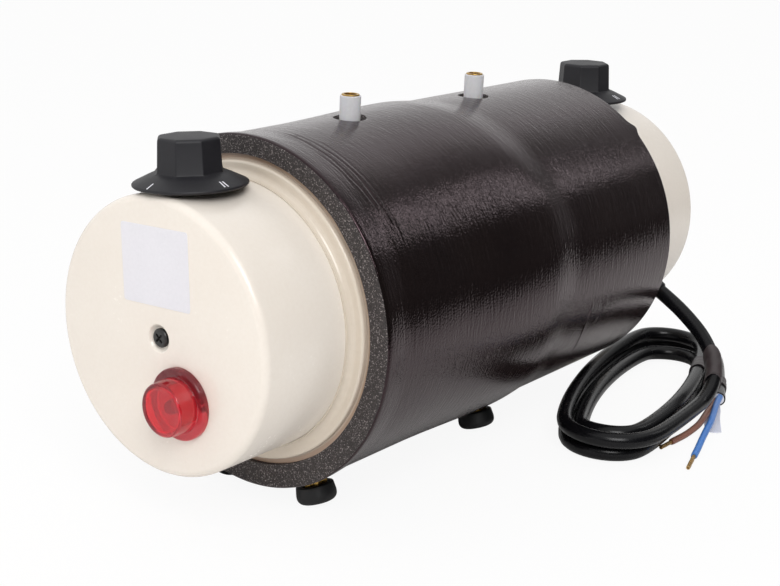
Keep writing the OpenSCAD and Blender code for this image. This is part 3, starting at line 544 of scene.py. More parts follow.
# where the strands cross an upright plane: (distance across, height, stretch of a sloping strand's cut)
def strandSpots(middle, across, run, reach, low):
    spots = []
    for a, b in zip(cordLine, cordLine[1:]):
        before, after = ((Vector(p) - middle).dot(run) for p in (a, b))
        if before * after < 0:
            spot = Vector(a).lerp(Vector(b), before / (before - after)) - middle
            if abs(spot.dot(across)) < reach and spot.z > low:
                slope = abs((Vector(b) - Vector(a)).normalized().dot(run))
                spots.append((spot.dot(across), spot.z, 1 / max(slope, tape["steepest"])))
    return spots


# a band of tape drawn tight round the strands that it meets
def makeBand(name, middle, run, reach, low):
    across = run.cross(Vector((0, 0, 1)))
    columns, sides = tape["columns"], tape["sides"]
    inside = [(c, 0) for c in range(columns)]
    outside = [(c, tape["thick"]) for c in reversed(range(columns))]
    verts = []
    for c, wall in inside + outside:
        offset = (c / (columns - 1) - 0.5) * tape["width"]
        plane = middle + run * offset
        spots = strandSpots(plane, across, run, reach, low)
        for k in range(sides):
            a = 2 * pi * k / sides
            way = Vector((cos(a), sin(a)))
            crinkle = 1 + tape["crinkle"] * sin(tape["ripple"] * offset + tape["ripplePhase"] * k)
            out = cord["diameter"] / 2 + tape["slack"] + wall * crinkle
            rims = [Vector((x + way.x * out, z + way.y * out * tall)) for x, z, tall in spots]
            rim = max(rims, key=way.dot)
            height = max(tape["lowest"] - wall * tape["sunk"], rim.y)
            verts.append(plane + across * rim.x + Vector((0, 0, height)))
    faces = gridFaces(2 * columns, sides, True)
    return makePiece(name, (verts, faces), Matrix(), "tape", 50)


def makeTapes():
    turn = turned(cord["turn"], "Z").to_3x3()
    middle = turn @ Vector((tape["aside"], tape["along"], 0)) + Vector((*cord["centre"], 0))
    run = turn @ turned(tape["lean"], "Z").to_3x3() @ Vector((0, 1, 0))
    band = makeBand("cord_tape_band", middle, run, tape["reach"], 0)
    handOver(band, "heater", "tape", "cord_tape")
    # a second turn of tape ties the lead to the outer loop
    tie = makeBand("cord_tape_tie", Vector((*wrap["at"], 0)), Vector((*wrap["way"], 0)).normalized(),
                   wrap["reach"], wrap["low"])
    return [band, handOver(tie, "heater", "tape")]


tapePieces = makeTapes()

wires = dict(
    diameter=3.2, step=1.2, nip=0.94, hidden=1.5, linePoints=16, threadSides=8,
    blue=[(101.8, 134.2, 5.9), (105.2, 124, 6.3), (108.9, 114.2, 6.4), (114.3, 99.7, 6.2),
          (117.5, 88.7, 5.6), (120.4, 78.5, 4.6), (123, 69.5, 3.4), (125.2, 61.5, 2.6)],
    brown=[(99.2, 133.1, 3.6), (102.5, 125, 3.8), (105.6, 112, 4),
           (109, 97.5, 3.6), (109.4, 84, 2.6), (108.2, 71, 2)],
    blueBare=12.4, brownBare=9, strands=7, strandRadius=0.34, twist=2.2,
)


def makeWire(colour):
    line = smoothLine(wires[colour], wires["step"])
    radii = [wires["diameter"] / 2] * len(line)
    radii[-1] *= wires["nip"]  # the stripped edge is nipped in a little
    piece = makePiece(colour + "_core", sweep(line, radii), Matrix(), colour + "_wire")
    return handOver(piece, "heater", colour + "_wire", colour + "_wire")


# strands laid round a line, with a twist along it
def strandTree():
    tree, sockets, given = newGroup("strandsAlongLine", Line="Geometry", Strands="Int", Circle="Float",
                                    Thread="Float", Twist="Float", Finish="Material")
    line = addNode(tree, "GeometryNodeMeshToCurve", {0: given["Line"]})[0]
    even = addNode(tree, "GeometryNodeResampleCurve", {"Curve": line, "Count": wires["linePoints"]})
    copies = addNode(tree, "GeometryNodeDuplicateElements",
                     {"Geometry": even[0], "Amount": given["Strands"]}, domain="SPLINE")
    share = addNode(tree, "ShaderNodeMath",
                    {0: copies["Duplicate Index"], 1: given["Strands"]}, operation="DIVIDE")[0]
    lay = addNode(tree, "ShaderNodeMath", {0: share, 1: 2 * pi}, operation="MULTIPLY")[0]
    along = addNode(tree, "GeometryNodeSplineParameter")["Factor"]
    turn = addNode(tree, "ShaderNodeMath", {0: along, 1: given["Twist"], 2: lay}, operation="MULTIPLY_ADD")[0]
    cosine = addNode(tree, "ShaderNodeMath", {0: turn}, operation="COSINE")[0]
    sine = addNode(tree, "ShaderNodeMath", {0: turn}, operation="SINE")[0]
    normal = addNode(tree, "GeometryNodeInputNormal")[0]
    tangent = addNode(tree, "GeometryNodeInputTangent")[0]
    beside = addNode(tree, "ShaderNodeVectorMath", {0: tangent, 1: normal}, operation="CROSS_PRODUCT")[0]
    first = addNode(tree, "ShaderNodeVectorMath", {0: normal, "Scale": cosine}, operation="SCALE")[0]
    second = addNode(tree, "ShaderNodeVectorMath", {0: beside, "Scale": sine}, operation="SCALE")[0]
    arm = addNode(tree, "ShaderNodeVectorMath", {0: first, 1: second}, operation="ADD")[0]
    offset = addNode(tree, "ShaderNodeVectorMath", {0: arm, "Scale": given["Circle"]}, operation="SCALE")[0]
    laid = addNode(tree, "GeometryNodeSetPosition", {"Geometry": copies["Geometry"], "Offset": offset})
    ring = addNode(tree, "GeometryNodeCurvePrimitiveCircle",
                   {"Resolution": wires["threadSides"], "Radius": given["Thread"]})
    tube = addNode(tree, "GeometryNodeCurveToMesh",
                   {"Curve": laid[0], "Profile Curve": ring[0], "Fill Caps": True})
    endGroup(tree, tube[0], given["Finish"])
    return tree, sockets


def makeStrands():
    points, edges = [], []
    for colour in ("blue", "brown"):
        end, before = (Vector(p) for p in (wires[colour][-1], wires[colour][-2]))
        away = (end - before).normalized()
        edges.append((len(points), len(points) + 1))
        points += [(end - away * wires["hidden"]) / 1000, (end + away * wires[colour + "Bare"]) / 1000]
    mesh = bpy.data.meshes.new("bare_strands")
    mesh.from_pydata(points, edges, [])
    thread = wires["strandRadius"] / 1000
    piece = runGroup("bare_strands", mesh, strandTree(), Strands=wires["strands"], Circle=thread * 2,
                     Thread=thread, Twist=wires["twist"], Finish=finishes["copper"])
    piece.data.shade_smooth()
    return handOver(piece, "heater", "copper", "wire_strands")


filler = dict(
    route=[(100.6, 133.2), (103, 125.4), (107, 116), (111.8, 107), (116.4, 99)], width=8, thick=0.4,
    columns=9, low=0.7, curl=1.2, uncurl=0.5, lift=2.6, neck=0.55, widen=3,
    plug=((-1, 3), (0.15, 3), (0.3, 2.6)),  # (how far out, radius)
)


# a curled paper strip that comes out of the cut end, and the paper that shows inside the sheath
def makeFiller():
    size = filler
    line = smoothLine([(x, y, 0) for x, y in size["route"]], 1)
    columns, last = size["columns"], len(line) - 1
    verts = []
    for i, spot in enumerate(line):
        t = i / last
        along = line[min(i + 1, last)] - line[max(i - 1, 0)]
        along = along / np.linalg.norm(along)
        wide = size["width"] / 2 * (size["neck"] + (1 - size["neck"]) * min(1, size["widen"] * t))
        # the underside from edge to edge, then the upper side back
        for k in range(2 * columns):
            s = 2 * min(k, 2 * columns - 1 - k) / (columns - 1) - 1
            curl = size["curl"] * s * s * (1 - size["uncurl"] * t) + size["lift"] * (1 - t) ** 3
            wall = size["thick"] if k >= columns else 0
            verts.append((spot[0] - along[1] * s * wide, spot[1] + along[0] * s * wide,
                          size["low"] + curl + wall))
    faces = gridFaces(len(line), 2 * columns)
    for row in (0, last * 2 * columns):
        faces += [(row + c, row + c + 1, row + 2 * columns - 2 - c, row + 2 * columns - 1 - c)
                  for c in range(columns - 1)]
    tip = Vector(cordLine[-1])
    away = (tip - Vector(cordLine[-3])).normalized()
    plug = sweep([tip + away * out for out, _ in size["plug"]], [radius for _, radius in size["plug"]], 24)
    piece = makePiece("cord_paper", joined((verts, faces), plug), Matrix(), "filler", 60)
    return handOver(piece, "heater", "filler", "cord_filler")


cordPieces = tapePieces + [makeWire("blue"), makeWire("brown"), makeStrands(), makeFiller()]
print("cord pieces made:", len(cordPieces))


# jacket
jacket = dict(
    length=229, radius=74.5, bore=66.1, sag=1.2, edge=1.2, columns=300, rowStep=1.3,
    humpHeight=1.6, humpRise=70, humpFall=26, flareHeight=1, flareLength=16,
    stubs=(63.5, 156), stubHole=7.2, stubFlare=0.2, feet=(18, 137), footHole=6.5, footLean=18,
    holeLow=60, holeHigh=84,
    # rows are closer where the creases and the crest are: (from, to, step)
    fineRows=((10, 26, 0.55), (153, 164, 0.55), (104, 124, 0.8)),
    # unevenness as (height, scale, shift) of a noise that is stretched round the tank and along it
    lumps=((0.07, 1, 0), (0.03, 3.1, 7)), lumpRound=2.2, lumpAlong=34,
    # crest of the waist as (degrees round from the top, distance along)
    crest=((-180, 122), (-120, 119), (-60, 113), (0, 105), (16, 110), (31, 111.5), (45, 114.6), (57, 119.6),
           (69, 121.4), (83, 118.4), (101, 116.1), (130, 121), (180, 122)),
    # creases as (depth, half width, line), the swelling beside them, and the mm for each degree round
    creases=(
        (0.2, 0.55, ((4, 17.4), (15.7, 16.1), (24, 16.4), (32, 15.7), (38, 16.6), (46, 17.2))),
        (0.18, 0.5, ((6, 19.9), (18.8, 19.6), (26, 19.9), (32, 20.2), (41, 19.6), (52, 20.6))),
        (0.12, 0.5, ((14, 23.2), (28, 22.6), (40, 23.4), (58, 22.4))),
        (0.1, 0.5, ((20, 13.2), (30, 13.6), (36, 13))),
        (0.35, 0.5, ((103, 158), (110, 156.9), (120.4, 160.5), (124, 161.6))),
    ),
    swelling=0.4, perDegree=1.3,
    # the ragged front edge, and a torn nub on the rear edge
    ragged=0.35, raggedTurns=6, raggedSeed=3, raggedRun=14,
    nub=3.4, nubAt=40, nubWidth=2.4, nubStart=221, nubRun=8,
    mapStep=0.00158,  # metres round the tank for each column
)


# the skin's distance from the axis, row by row
def jacketSkin(rows, angles):
    size = jacket
    along, around = np.meshgrid(rows, angles, indexing="ij")
    past = along - np.interp(angles, *zip(*size["crest"]))[None, :]
    rise = np.where(past < 0, swell(1 + past / size["humpRise"]), swell(1 - past / size["humpFall"]))
    radius = size["radius"] + size["humpHeight"] * rise
    radius += size["flareHeight"] * (1 - swell(along / size["flareLength"]))
    for i, y in enumerate(rows):
        for k, turn in enumerate(np.radians(angles)):
            spot = Vector((sin(turn) * size["lumpRound"], y / size["lumpAlong"],
                           cos(turn) * size["lumpRound"]))
            for height, scale, shift in size["lumps"]:
                radius[i, k] += height * noise.noise(spot * scale + Vector((shift, 0, 0)))
    for depth, width, line in size["creases"]:
        near = np.full(radius.shape, np.inf)
        for (d0, y0), (d1, y1) in zip(line, line[1:]):
            ax, bx = size["perDegree"] * (around - d0), size["perDegree"] * (d1 - d0)
            ay, by = along - y0, y1 - y0
            t = np.clip((ax * bx + ay * by) / (bx * bx + by * by), 0, 1)
            near = np.minimum(near, np.hypot(ax - t * bx, ay - t * by))
        radius -= depth * np.exp(-(near / width) ** 2)
        radius += size["swelling"] * depth * np.exp(-((near - 2 * width) / width) ** 2)
    return radius


def jacketShape():
    size = jacket
    count, bore, edge, length = size["columns"], size["bore"], size["edge"], size["length"]
    angles = np.linspace(-180, 180, count + 1)[:-1]
    turn = np.radians(angles)
    y, rows = edge, []
    while y < length - edge:
        rows.append(y)
        y += next((step for low, high, step in size["fineRows"] if low < y < high), size["rowStep"])
    rows.append(length - edge)
    radius = jacketSkin(np.array(rows), angles)
    # rings as (distance from the axis, place along, sag, is it skin): up the front, along, down the rear
    edges = []
    for rim, y, out in ((radius[0], 0, -1), (radius[-1], length, 1)):
        rings = [(np.full(count, bore), y, 0, False)]
        rings += [(bore + (rim - edge - bore) * t, y, size["sag"] * t, False) for t in (0.35, 0.7, 1)]
        rings += [(rim + edge * (cos(a) - 1), y + out * edge * (sin(a) - 1), size["sag"], True)
                  for a in (pi / 3, pi / 6)]
        edges.append(rings)
    rings = edges[0] + [(reach, y, size["sag"], True) for reach, y in zip(radius, rows)] + edges[1][::-1]
    ragged = np.array([noise.noise(Vector((a * size["raggedTurns"], size["raggedSeed"], 0))) for a in turn])
    nub = size["nub"] * np.exp(-((angles - size["nubAt"]) / size["nubWidth"]) ** 2)
    verts, uvs, skins = [], [], []
    for (reach, y, sag, skin), (_, nextY, _, nextSkin) in zip(rings, rings[1:] + rings[:1]):
        pull = size["ragged"] * ragged * max(0, 1 - y / size["raggedRun"])
        pull += nub * max(0, (y - size["nubStart"]) / size["nubRun"])
        verts += np.column_stack((reach * np.sin(turn), y + pull, reach * np.cos(turn) - sag)).tolist()
        for k in range(count):
            left, right = k * size["mapStep"], (k + 1) * size["mapStep"]
            uvs += [(left, y / 1000), (right, y / 1000), (right, nextY / 1000), (left, nextY / 1000)]
        skins += [skin and nextSkin] * count
    return verts, gridFaces(len(rings), count, True), uvs, skins


def makeJacket():
    size = jacket
    verts, faces, uvs, skins = jacketShape()
    mesh = bpy.data.meshes.new("foam_jacket")
    mesh.from_pydata(verts, [], faces)
    mesh.transform(toMetres @ tankFrame)
    mesh.uv_layers.new(name="wrap").data.foreach_set("uv", np.array(uvs, float).ravel())
    mesh.materials.append(finishes["foam"])
    mesh.materials.append(finishes["foamCut"])
    mesh.polygons.foreach_set("material_index", [0 if skin else 1 for skin in skins])
    mesh.shade_smooth()
    mesh.set_sharp_from_angle(angle=radians(50))
    deep = (size["holeLow"], size["holeHigh"], "foamCut")
    cutters = [drill(onTank(y), size["stubHole"], *deep, size["stubFlare"]) for y in size["stubs"]]
    for y in size["feet"]:
        for lean in (180 - size["footLean"], 180 + size["footLean"]):
            cutters.append(drill(onTank(y) @ turned(lean, "Y"), size["footHole"], *deep, steps=40))
    piece = cutAway(addObject("foam_jacket", mesh), cutters)
    return handOver(piece, "heater", "foam", "insulation_jacket")


makeJacket()
print("jacket made")


# caps, lamp and label; the points of each profile are (radius, height, fillet)
cap = dict(
    radius=57, length=48.5, frontEnd=-1, rearEnd=237.5, holeLow=40, holeHigh=70,
    # the dish round the screw, the face, the side, then back inside to the screw's boss
    profile=((2.2, 46.5), (4.5, 46.5, 0.8), (5.7, 48.5, 0.9), (57, 48.5, 3.2), (57, 0.4, 0.3), (56.7, 0),
             (54.5, 0), (54.5, 46, 1.5), (7, 46, 0.8), (7, 42.6), (2.2, 42.6)),
)
knob = dict(
    frontY=-28.5, rearY=261, frontLean=3.8, rearLean=1.6, frontGap=0.8, rearGap=2.8,
    bush=5.05, skirt=23, rim=0.75, top=12.08, height=19.4, edge=1.5, crown=7, corner=1.1,
    hub=6.2, hubDepth=4, shaft=3.05, bore=15.4, sliver=0.001,
    # (radius, height) at the foot of the grip, down the skirt, and under it
    gripFoot=((13 - 6.1 / 19.4, 6.1), (12.9, 5.55), (13.5, 5.15)), slope=((14.9, 5), (17, 4.1), (20, 2.65)),
    under=((21.6, 0.02), (20.4, 0.05), (20, 0.3), (12.6, 3.5), (6.4, 3.6)),
)
lamp = dict(
    x=13, drop=23.5, hole=9, holeLow=-8, holeHigh=6,
    # the flange, the side, the rim round the sunk face, then the inside
    profile=((9.45, 0), (14.7, 0), (14.7, 2.8, 1), (11.45, 2.8, 0.5), (10.85, 11.5, 1.2), (8.65, 11.4, 0.4),
             (8.25, 11.1, 0.4), (0, 11.1), (0, 10.1), (9.45, 10.1)),
)
gland = dict(
    y=248, hole=5.65, fall=26.565,
    # the thread, the flange on the cap, and the collar that holds the boot
    profile=((3.85, 47.5), (5.6, 47.5), (5.6, 57.1), (7.2, 57.1), (7.2, 59.5, 0.8), (6.2, 59.5, 0.3),
             (5.9, 61.5), (3.85, 61.5)),
)

ends = ("front", "rear")
capFace = cap["frontEnd"] - cap["length"]
outward = {"front": onTank(cap["frontEnd"]) @ turned(90, "X"),
           "rear": onTank(cap["rearEnd"]) @ turned(-90, "X")}
onLamp = onTank(capFace, lamp["x"], -lamp["drop"]) @ turned(90, "X")
onGland = onTank(gland["y"]) @ turned(90 + gland["fall"], "Y")


def knobAxis(end):
    return onTank(knob[end + "Y"]) @ turned(-knob[end + "Lean"], "Y")


def makeCap(end):
    shape = lathe(rounded(cap["profile"], 8), 160, True)
    piece = makePiece(end + "_cap_cup", shape, outward[end], "cream_plastic")
    deep = (cap["holeLow"], cap["holeHigh"])
    holes = [(knobAxis(end), knob["bush"], *deep)]
    if end == "front":
        holes.append((onLamp, lamp["hole"], lamp["holeLow"], lamp["holeHigh"]))
    else:
        holes.append((onGland, gland["hole"], *deep))
    cutAway(piece, [drill(*hole, "cream_plastic") for hole in holes])
    piece.data.set_sharp_from_angle(angle=radians(35))
    return handOver(piece, "heater", "cream_plastic", end + "_cap")


def makeLens():
    piece = makePiece("lamp_lens", lathe(rounded(lamp["profile"]), 96, True), onLamp, "red_lens")
    return handOver(piece, "heater", "red_lens", "pilot_lens")


label = dict(
    middle=(-1.75, 28.85), width=36.7, height=31.7, corner=1.2, skew=3.4,
    layers=((-0.02, 1, 1), (0.14, 1, 1), (0.16, 0.998, 0.998)),  # (height over the cap's face, scales)
)


# a flat plate from its outline in layers of (height, scale across, scale along)
def layered(outline, layers):
    verts = [(x * across, y * along, z) for z, across, along in layers for x, y in outline]
    n = len(outline)
    faces = [tuple(reversed(range(n))), tuple(range(len(verts) - n, len(verts)))] + gridFaces(len(layers), n)
    return verts, faces


# a blank sticker on the front face
def makeLabel():
    corner = label["corner"]
    across, along = label["width"] / 2 - corner, label["height"] / 2 - corner
    outline = []
    for start, right, up in ((0, 1, 1), (90, -1, 1), (180, -1, -1), (270, 1, -1)):
        for a in np.radians(np.arange(start, start + 91, 15)):
            outline.append((right * across + corner * cos(a), up * along + corner * sin(a)))
    place = onTank(capFace, *label["middle"]) @ turned(90, "X") @ turned(label["skew"], "Z")
    piece = makePiece("blank_label", layered(outline, label["layers"]), place, "label", 10)
    return handOver(piece, "heater", "white_plastic")


for end in ends:
    makeCap(end)
makeLens()
makeLabel()
print("caps, lens and label made")


# knobs
# distance from the axis to an eight-sided outline with rounded corners
def octagon(across, corner, angle):
    inner = (across - corner) / cos(pi / 8)
    away = (angle + pi / 8) % (pi / 4) - pi / 8
    flatEnd = atan2((across - corner) * tan(pi / 8), across)
    if abs(away) <= flatEnd:
        return across / cos(away)
    gap = pi / 8 - abs(away)
    return inner * cos(gap) + sqrt(corner ** 2 - (inner * sin(gap)) ** 2)


def knobShape(gap):
    size = knob
    # columns in degrees from the middle of each flat, close together round a corner
    steps = (-18, -9, 0, 9, 18, 19.4, 20.4, 21.4, 22.5, 23.6, 24.6, 25.6)
    angles = [pi / 4 * k + radians(step) for k in range(8) for step in steps]
    eight = [(size["crown"], size["height"])]
    for a in np.radians((90, 75, 60, 45, 30, 15, 0)):
        eight.append((size["top"] - size["edge"] * (1 - cos(a)),
                      size["height"] - size["edge"] * (1 - sin(a))))
    eight += size["gripFoot"]
    skirt = list(size["slope"])
    for a in np.radians((70, 45, 20, -10, -40, -70)):
        skirt.append((size["skirt"] - size["rim"] * (1 - cos(a)), size["rim"] * (1 + sin(a))))
    hub = size["hubDepth"] - gap
    skirt += [*size["under"], (size["hub"], hub), (size["shaft"], hub), (size["shaft"], size["bore"]),
              (size["sliver"], size["bore"])]
    rows = [(size["sliver"], size["height"], False)]
    rows += [(*row, True) for row in eight] + [(*row, False) for row in skirt]
    verts = []
    for radius, height, eightSided in rows:
        for angle in angles:
            reach = octagon(radius, min(size["corner"], radius / 3), angle) if eightSided else radius
            verts.append((reach * cos(angle), reach * sin(angle), height))
    return verts, gridFaces(len(rows), len(angles))


def knobSeat(end):
    return knobAxis(end) @ Matrix.Translation((0, 0, cap["radius"] + knob[end + "Gap"]))


def makeKnob(end):
    shape = knobShape(knob[end + "Gap"])
    piece = makePiece(end + "_knob_body", shape, knobSeat(end), "black_plastic", 28)
    return handOver(piece, end + "_control", "black_plastic", end + "_knob")


for end in ends:
    makeKnob(end)
print("knobs made")


# repeated pieces
# puts one piece on every spot, turned by the spot's own angles
def spotTree():
    tree, sockets, given = newGroup("pieceOnSpots", Spots="Geometry", Piece="Object", Finish="Material")
    piece = addNode(tree, "GeometryNodeObjectInfo", {"Object": given["Piece"]}, transform_space="ORIGINAL")
    turn = addNode(tree, "GeometryNodeInputNamedAttribute", {"Name": "turn"}, data_type="FLOAT_VECTOR")
    angles = addNode(tree, "FunctionNodeEulerToRotation", {0: turn[0]})
    placed = addNode(tree, "GeometryNodeInstanceOnPoints",
                     {"Points": given["Spots"], "Instance": piece["Geometry"],
                      "Rotation": angles[0]})
    endGroup(tree, placed[0], given["Finish"])
    return tree, sockets


spotGroup = spotTree()


def onSpots(name, shape, places, slot, angle=35):
    master = makePiece(name + "_one", shape, Matrix(), slot, angle)
    mesh = bpy.data.meshes.new(name)
    mesh.from_pydata([(toMetres @ place).translation for place in places], [], [])
    turns = mesh.attributes.new("turn", "FLOAT_VECTOR", "POINT")
    for value, place in zip(turns.data, places):
        value.vector = place.to_euler()
    piece = runGroup(name, mesh, spotGroup, Piece=master, Finish=finishes[slot])
    bpy.data.objects.remove(master)
    return piece


stub = dict(
    at=dict(zip(("cold", "hot"), jacket["stubs"])),
    profile=((3.5, 59), (4.6, 59), (4.6, 66.1), (6.4, 66.1), (6.4, 68.1, 0.4), (4.6, 68.1, 0.5),
             (4.6, 83.5, 0.45), (3.5, 83.5)),
    # brass, its mouth turned over the nylon
    lining=((2.8, 64), (3.45, 64), (3.45, 83.52), (3.9, 83.52), (4, 84.1, 0.35), (2.8, 84.1, 0.2), (2.8, 70)),
)


def makeStubs():
    shape = lathe(rounded(stub["profile"], 5), 64, True)
    for name, y in stub["at"].items():
        piece = makePiece(name + "_pipe", shape, onTank(y), "white_plastic")
        handOver(piece, "heater", "white_plastic", name + "_stub")
    spots = [onTank(y) for y in stub["at"].values()]
    piece = onSpots("brass_linings", lathe(rounded(stub["lining"], 5), 48, True), spots, "brass")
    handOver(piece, "heater", "brass", "stub_linings")


foot = dict(
    at=jacket["feet"], lean=jacket["footLean"], bulge=0.12, nut=5.8, nutSides=48,
    # the nut's recess, the mouth, the side and the sole, before the floor flattens it
    profile=((0, 80.8), (5.9, 80.8), (5.9, 79.7, 0.3), (8.2, 79.7, 0.8), (8.8, 83.7), (8.8, 87.756, 3),
             (0, 87.756)),
    nutRows=((3.05, 76.2), (4.9, 76.2), (5.8, 76.7), (5.8, 80.3), (4.9, 80.8), (3.05, 80.8)),
)


# leaning rubber foot, pressed flat on the floor
def footShape(turn):
    floor = -tank["axisHeight"]
    verts, faces = lathe(rounded(foot["profile"]), 64)
    flat = []
    for v in verts:
        spot = turn @ Vector(v)
        pressed = max(0, floor - spot.z)
        if pressed:
            middle = turn @ Vector((0, 0, v[2]))
            spread = 1 + foot["bulge"] * min(pressed, 1)  # the sole bulges a little where it is pressed
            spot = Vector(((spot.x - middle.x) * spread + middle.x, spot.y * spread, floor))
        flat.append(turn.inverted() @ spot)
    return flat, faces


# hexagon nut with its corners turned off
def nutShape():
    sides, sixth = foot["nutSides"], pi / 3
    verts = []
    for radius, height in foot["nutRows"]:
        for k in range(sides):
            a = 2 * pi * k / sides
            flat = foot["nut"] * cos(sixth / 2) / cos((a + sixth / 2) % sixth - sixth / 2)
            reach = min(radius, flat)
            verts.append((reach * cos(a), reach * sin(a), height))
    return verts, gridFaces(len(foot["nutRows"]), sides, True)


# feet on both sides, with a brass nut in each one's mouth
def makeFeet():
    turn = turned(180 - foot["lean"], "Y")
    spots = [onTank(y) @ turned(side, "Z") @ turn for y in foot["at"] for side in (0, 180)]
    piece = onSpots("foot_cups", footShape(turn), spots, "foot_rubber")
    handOver(piece, "heater", "foot_rubber", "rubber_feet")
    piece = onSpots("foot_hex_nuts", nutShape(), spots, "brass", 25)
    handOver(piece, "heater", "brass", "foot_nuts")


marks = dict(
    # bars as (degrees round from the right, inner end, outer end)
    front=((-92.5, 19.2, 22.1), (-7.6, 18.2, 21.9), (-3.2, 18.2, 22)),
    rear=((1.2, 17.4, 21.4), (6.4, 17.6, 21.5)),
    half=1.9, width=0.6, skirtEnd=(22.5, 1.42), raised=0.02,
    layers=((-0.16, 1, 1), (0.048, 1, 1), (0.08, 0.97, 0.85)),  # (height, scales)
)


# white bars inlaid in a knob's skirt
def makeMarks(end):
    (topRadius, topHeight), (endRadius, endHeight) = knob["slope"][0], marks["skirtEnd"]
    slope = atan2(topHeight - endHeight, endRadius - topRadius)
    spots = []
    for angle, start, stop in marks[end]:
        middle = (start + stop) / 2
        height = endHeight + (endRadius - middle) * tan(slope) + marks["raised"]
        spots.append(knobSeat(end) @ turned(angle, "Z") @ Matrix.Translation((middle, 0, height))
                     @ Matrix.Rotation(slope, 4, "Y"))
    half, wide = marks["half"], marks["width"] / 2
    shape = layered(((-half, -wide), (half, -wide), (half, wide), (-half, wide)), marks["layers"])
    piece = onSpots(end + "_knob_marks", shape, spots, "mark")
    handOver(piece, end + "_control", "white_plastic")


makeStubs()
makeFeet()
for end in ends:
    makeMarks(end)
print("stubs, feet and marks made")


# gland
boot = dict(
    length=7.5, start=5.6, end=4.5, grooves=2, grooveDepth=0.45, grooveFrom=0.12, grooveTo=0.92, edge=0.3,
    step=0.6, base=61, sides=28,
)


# flanged gland with a tapered, grooved boot round the lead
def makeGland():
    verts, faces = lathe(rounded(gland["profile"], 5), 64, True)
    start = onGland @ Vector((0, 0, boot["base"]))
    out = onGland.to_3x3() @ Vector((0, 0, 1))
    line = [p for p in smoothLine(cord["lead"], boot["step"]) if (Vector(p) - start).dot(out) > 0]
    run, path, radii = 0, [], []
    for a, b in zip(line, line[1:]):
        t = run / boot["length"]
        wave = 1
        if boot["grooveFrom"] < t < boot["grooveTo"]:
            wave = cos(2 * pi * boot["grooves"] * t)
        path.append(a)
        groove = boot["grooveDepth"] * (1 - wave) / 2 * (1 - t)
        radii.append(boot["start"] + (boot["end"] - boot["start"]) * t - groove)
        run += np.linalg.norm(b - a)
        if run > boot["length"]:
            break
    radii[-1] -= boot["edge"]
    shape = joined(([onGland @ Vector(v) for v in verts], faces), sweep(path, radii, boot["sides"]))
    piece = makePiece("gland_boot", shape, Matrix(), "black_plastic", 40)
    return handOver(piece, "heater", "black_plastic", "cable_gland")


makeGland()
print("gland made")

# finishes of the CAD nodes that stay
nodeFinish = {
    "cream_metal": ("tank_shell", "tank_front_plate", "tank_rear_plate"),
    "black_screw": ("cap_screws",),
    "brass": ("screw_posts", "sensor_pocket", "heater_flange", "foot_screws"),
    "steel": ("switch_shaft", "switch_nut", "thermostat_shaft", "thermostat_nut", "flange_bolts",
              "heating_rods"),
    "black_plastic": ("switch_body", "safety_cutout", "lamp_nut", "gland_nut"),
    "ceramic": ("thermostat_body", "rod_terminals"),
    "copper": ("capillary", "sensor_bulb"),
    "gasket_rubber": ("heater_gasket",),
    "white_plastic": ("lamp_holder", "terminal_block", "dip_tube"),
    "glass": ("neon_lamp",),
}
for slot, nodes in nodeFinish.items():
    for name in nodes:
        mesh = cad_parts[name].data
        mesh.materials.clear()
        mesh.materials.append(finishes[slot])
print("CAD nodes dressed:", sum(len(n) for n in nodeFinish.values()))

# floor and light
studio = dict(
    floor=5.0, floorColour="#f4f3f2", floorWhite=0.92, bright=0.95, dark=0.04,
    # the lit part of the floor fades out between these distances to the right
    poolEnd=0.16, poolGone=0.48,
    # brightness of the tent's wall from left to right, and the heights between which its roof begins
    tentLeft=-0.2, tentRight=0.55, roofLow=0.64, roofHigh=0.86,
    tentLevels=((0, 0.95), (0.09, 0.9), (0.27, 0.45), (0.42, 0.33), (0.66, 0.23), (0.85, 0.11), (1, 0.05)),
    aim=(0, 0, 0.08),
)
white = (1, 1, 1, 1)


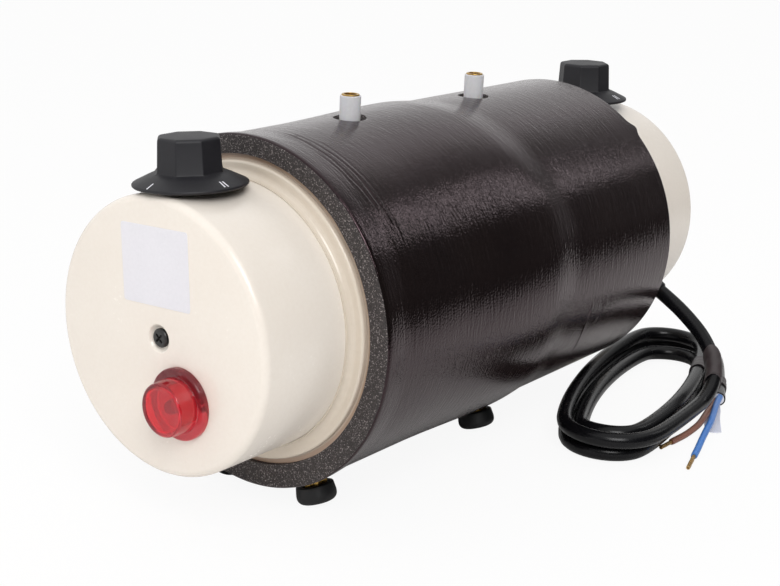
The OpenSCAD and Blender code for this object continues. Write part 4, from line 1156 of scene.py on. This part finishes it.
# pale floor: white to the camera over the real shadow; in gloss it is a pool of light that fades to the right
def makeFloor():
    sockets = {"Base Color": srgb(studio["floorColour"]), "Roughness": 0.9, "Specular IOR Level": 0.1}
    finish, tree, skin = newFinish("floor_paper", sockets)
    place = addNode(tree, "ShaderNodeTexCoord")["Object"]
    axes = addNode(tree, "ShaderNodeSeparateXYZ", {0: place})
    fade = addNode(tree, "ShaderNodeMapRange",
                   {"Value": axes["X"], "From Min": studio["poolEnd"], "From Max": studio["poolGone"]},
                   interpolation_type="SMOOTHSTEP")[0]
    rays = addNode(tree, "ShaderNodeLightPath")
    gloss = addNode(tree, "ShaderNodeMath", {0: rays["Is Glossy Ray"], 1: fade}, operation="MULTIPLY")[0]
    seen = addNode(tree, "ShaderNodeMath",
                   {0: rays["Is Camera Ray"], 1: studio["floorWhite"], 2: gloss}, operation="MULTIPLY_ADD")[0]
    strength = addNode(tree, "ShaderNodeMapRange",
                       {"Value": rays["Is Camera Ray"], "To Min": studio["dark"]})[0]
    glow = addNode(tree, "ShaderNodeEmission", {"Color": white, "Strength": strength})[0]
    both = addNode(tree, "ShaderNodeMixShader", {0: seen, 1: skin.outputs[0], 2: glow})[0]
    tree.links.new(both, tree.nodes["Material Output"].inputs["Surface"])
    mesh = bpy.data.meshes.new("floor")
    s = studio["floor"]
    mesh.from_pydata([(-s, -s, 0), (s, -s, 0), (s, s, 0), (-s, s, 0)], [], [(0, 1, 2, 3)])
    mesh.materials.append(finish)
    addObject("floor", mesh)


# a tent of soft light: bright overhead and to the left, ever darker towards the right; white to the camera
def makeWorld():
    world = bpy.data.worlds.new("soft_tent")
    world.use_nodes = True
    tree = world.node_tree
    way = addNode(tree, "ShaderNodeTexCoord")["Generated"]
    axes = addNode(tree, "ShaderNodeSeparateXYZ", {0: way})
    across = addNode(tree, "ShaderNodeMapRange",
                     {"Value": axes["X"], "From Min": studio["tentLeft"], "From Max": studio["tentRight"]})[0]
    wall = addNode(tree, "ShaderNodeValToRGB", {0: across})[0]
    stops = wall.node.color_ramp.elements
    for place, level in studio["tentLevels"]:
        stop = stops[0] if place == 0 else stops[-1] if place == 1 else stops.new(place)
        stop.color = (level, level, level, 1)
    roof = addNode(tree, "ShaderNodeMapRange",
                   {"Value": axes["Z"], "From Min": studio["roofLow"], "From Max": studio["roofHigh"],
                    "To Max": studio["bright"]}, interpolation_type="SMOOTHSTEP")[0]
    level = addNode(tree, "ShaderNodeMath", {0: wall, 1: roof}, operation="MAXIMUM")[0]
    rays = addNode(tree, "ShaderNodeLightPath")
    seen = addNode(tree, "ShaderNodeMath", {0: level, 1: rays["Is Camera Ray"]}, operation="MAXIMUM")[0]
    tree.links.new(seen, tree.nodes["Background"].inputs["Strength"])
    tree.nodes["Background"].inputs["Color"].default_value = white
    scene.world = world


lamps = dict(
    frontRight=dict(at=(0.95, -0.95, 1.15), width=0.8, height=0.8, power=16.5),
    behind=dict(at=(0.55, 1.04, 0.83), width=0.1, height=0.5, power=0.65),  # a tall strip
)


def makeLamps():
    for name, size in lamps.items():
        data = bpy.data.lights.new(name, "AREA")
        data.shape = "RECTANGLE"
        data.size = size["width"]
        data.size_y = size["height"]
        data.energy = size["power"]
        facing = (Vector(studio["aim"]) - Vector(size["at"])).to_track_quat("-Z", "Y")
        addObject(name, data).matrix_world = Matrix.Translation(size["at"]) @ facing.to_matrix().to_4x4()


makeFloor()
makeWorld()
makeLamps()
print("floor and light set")

bpy.context.view_layer.update()
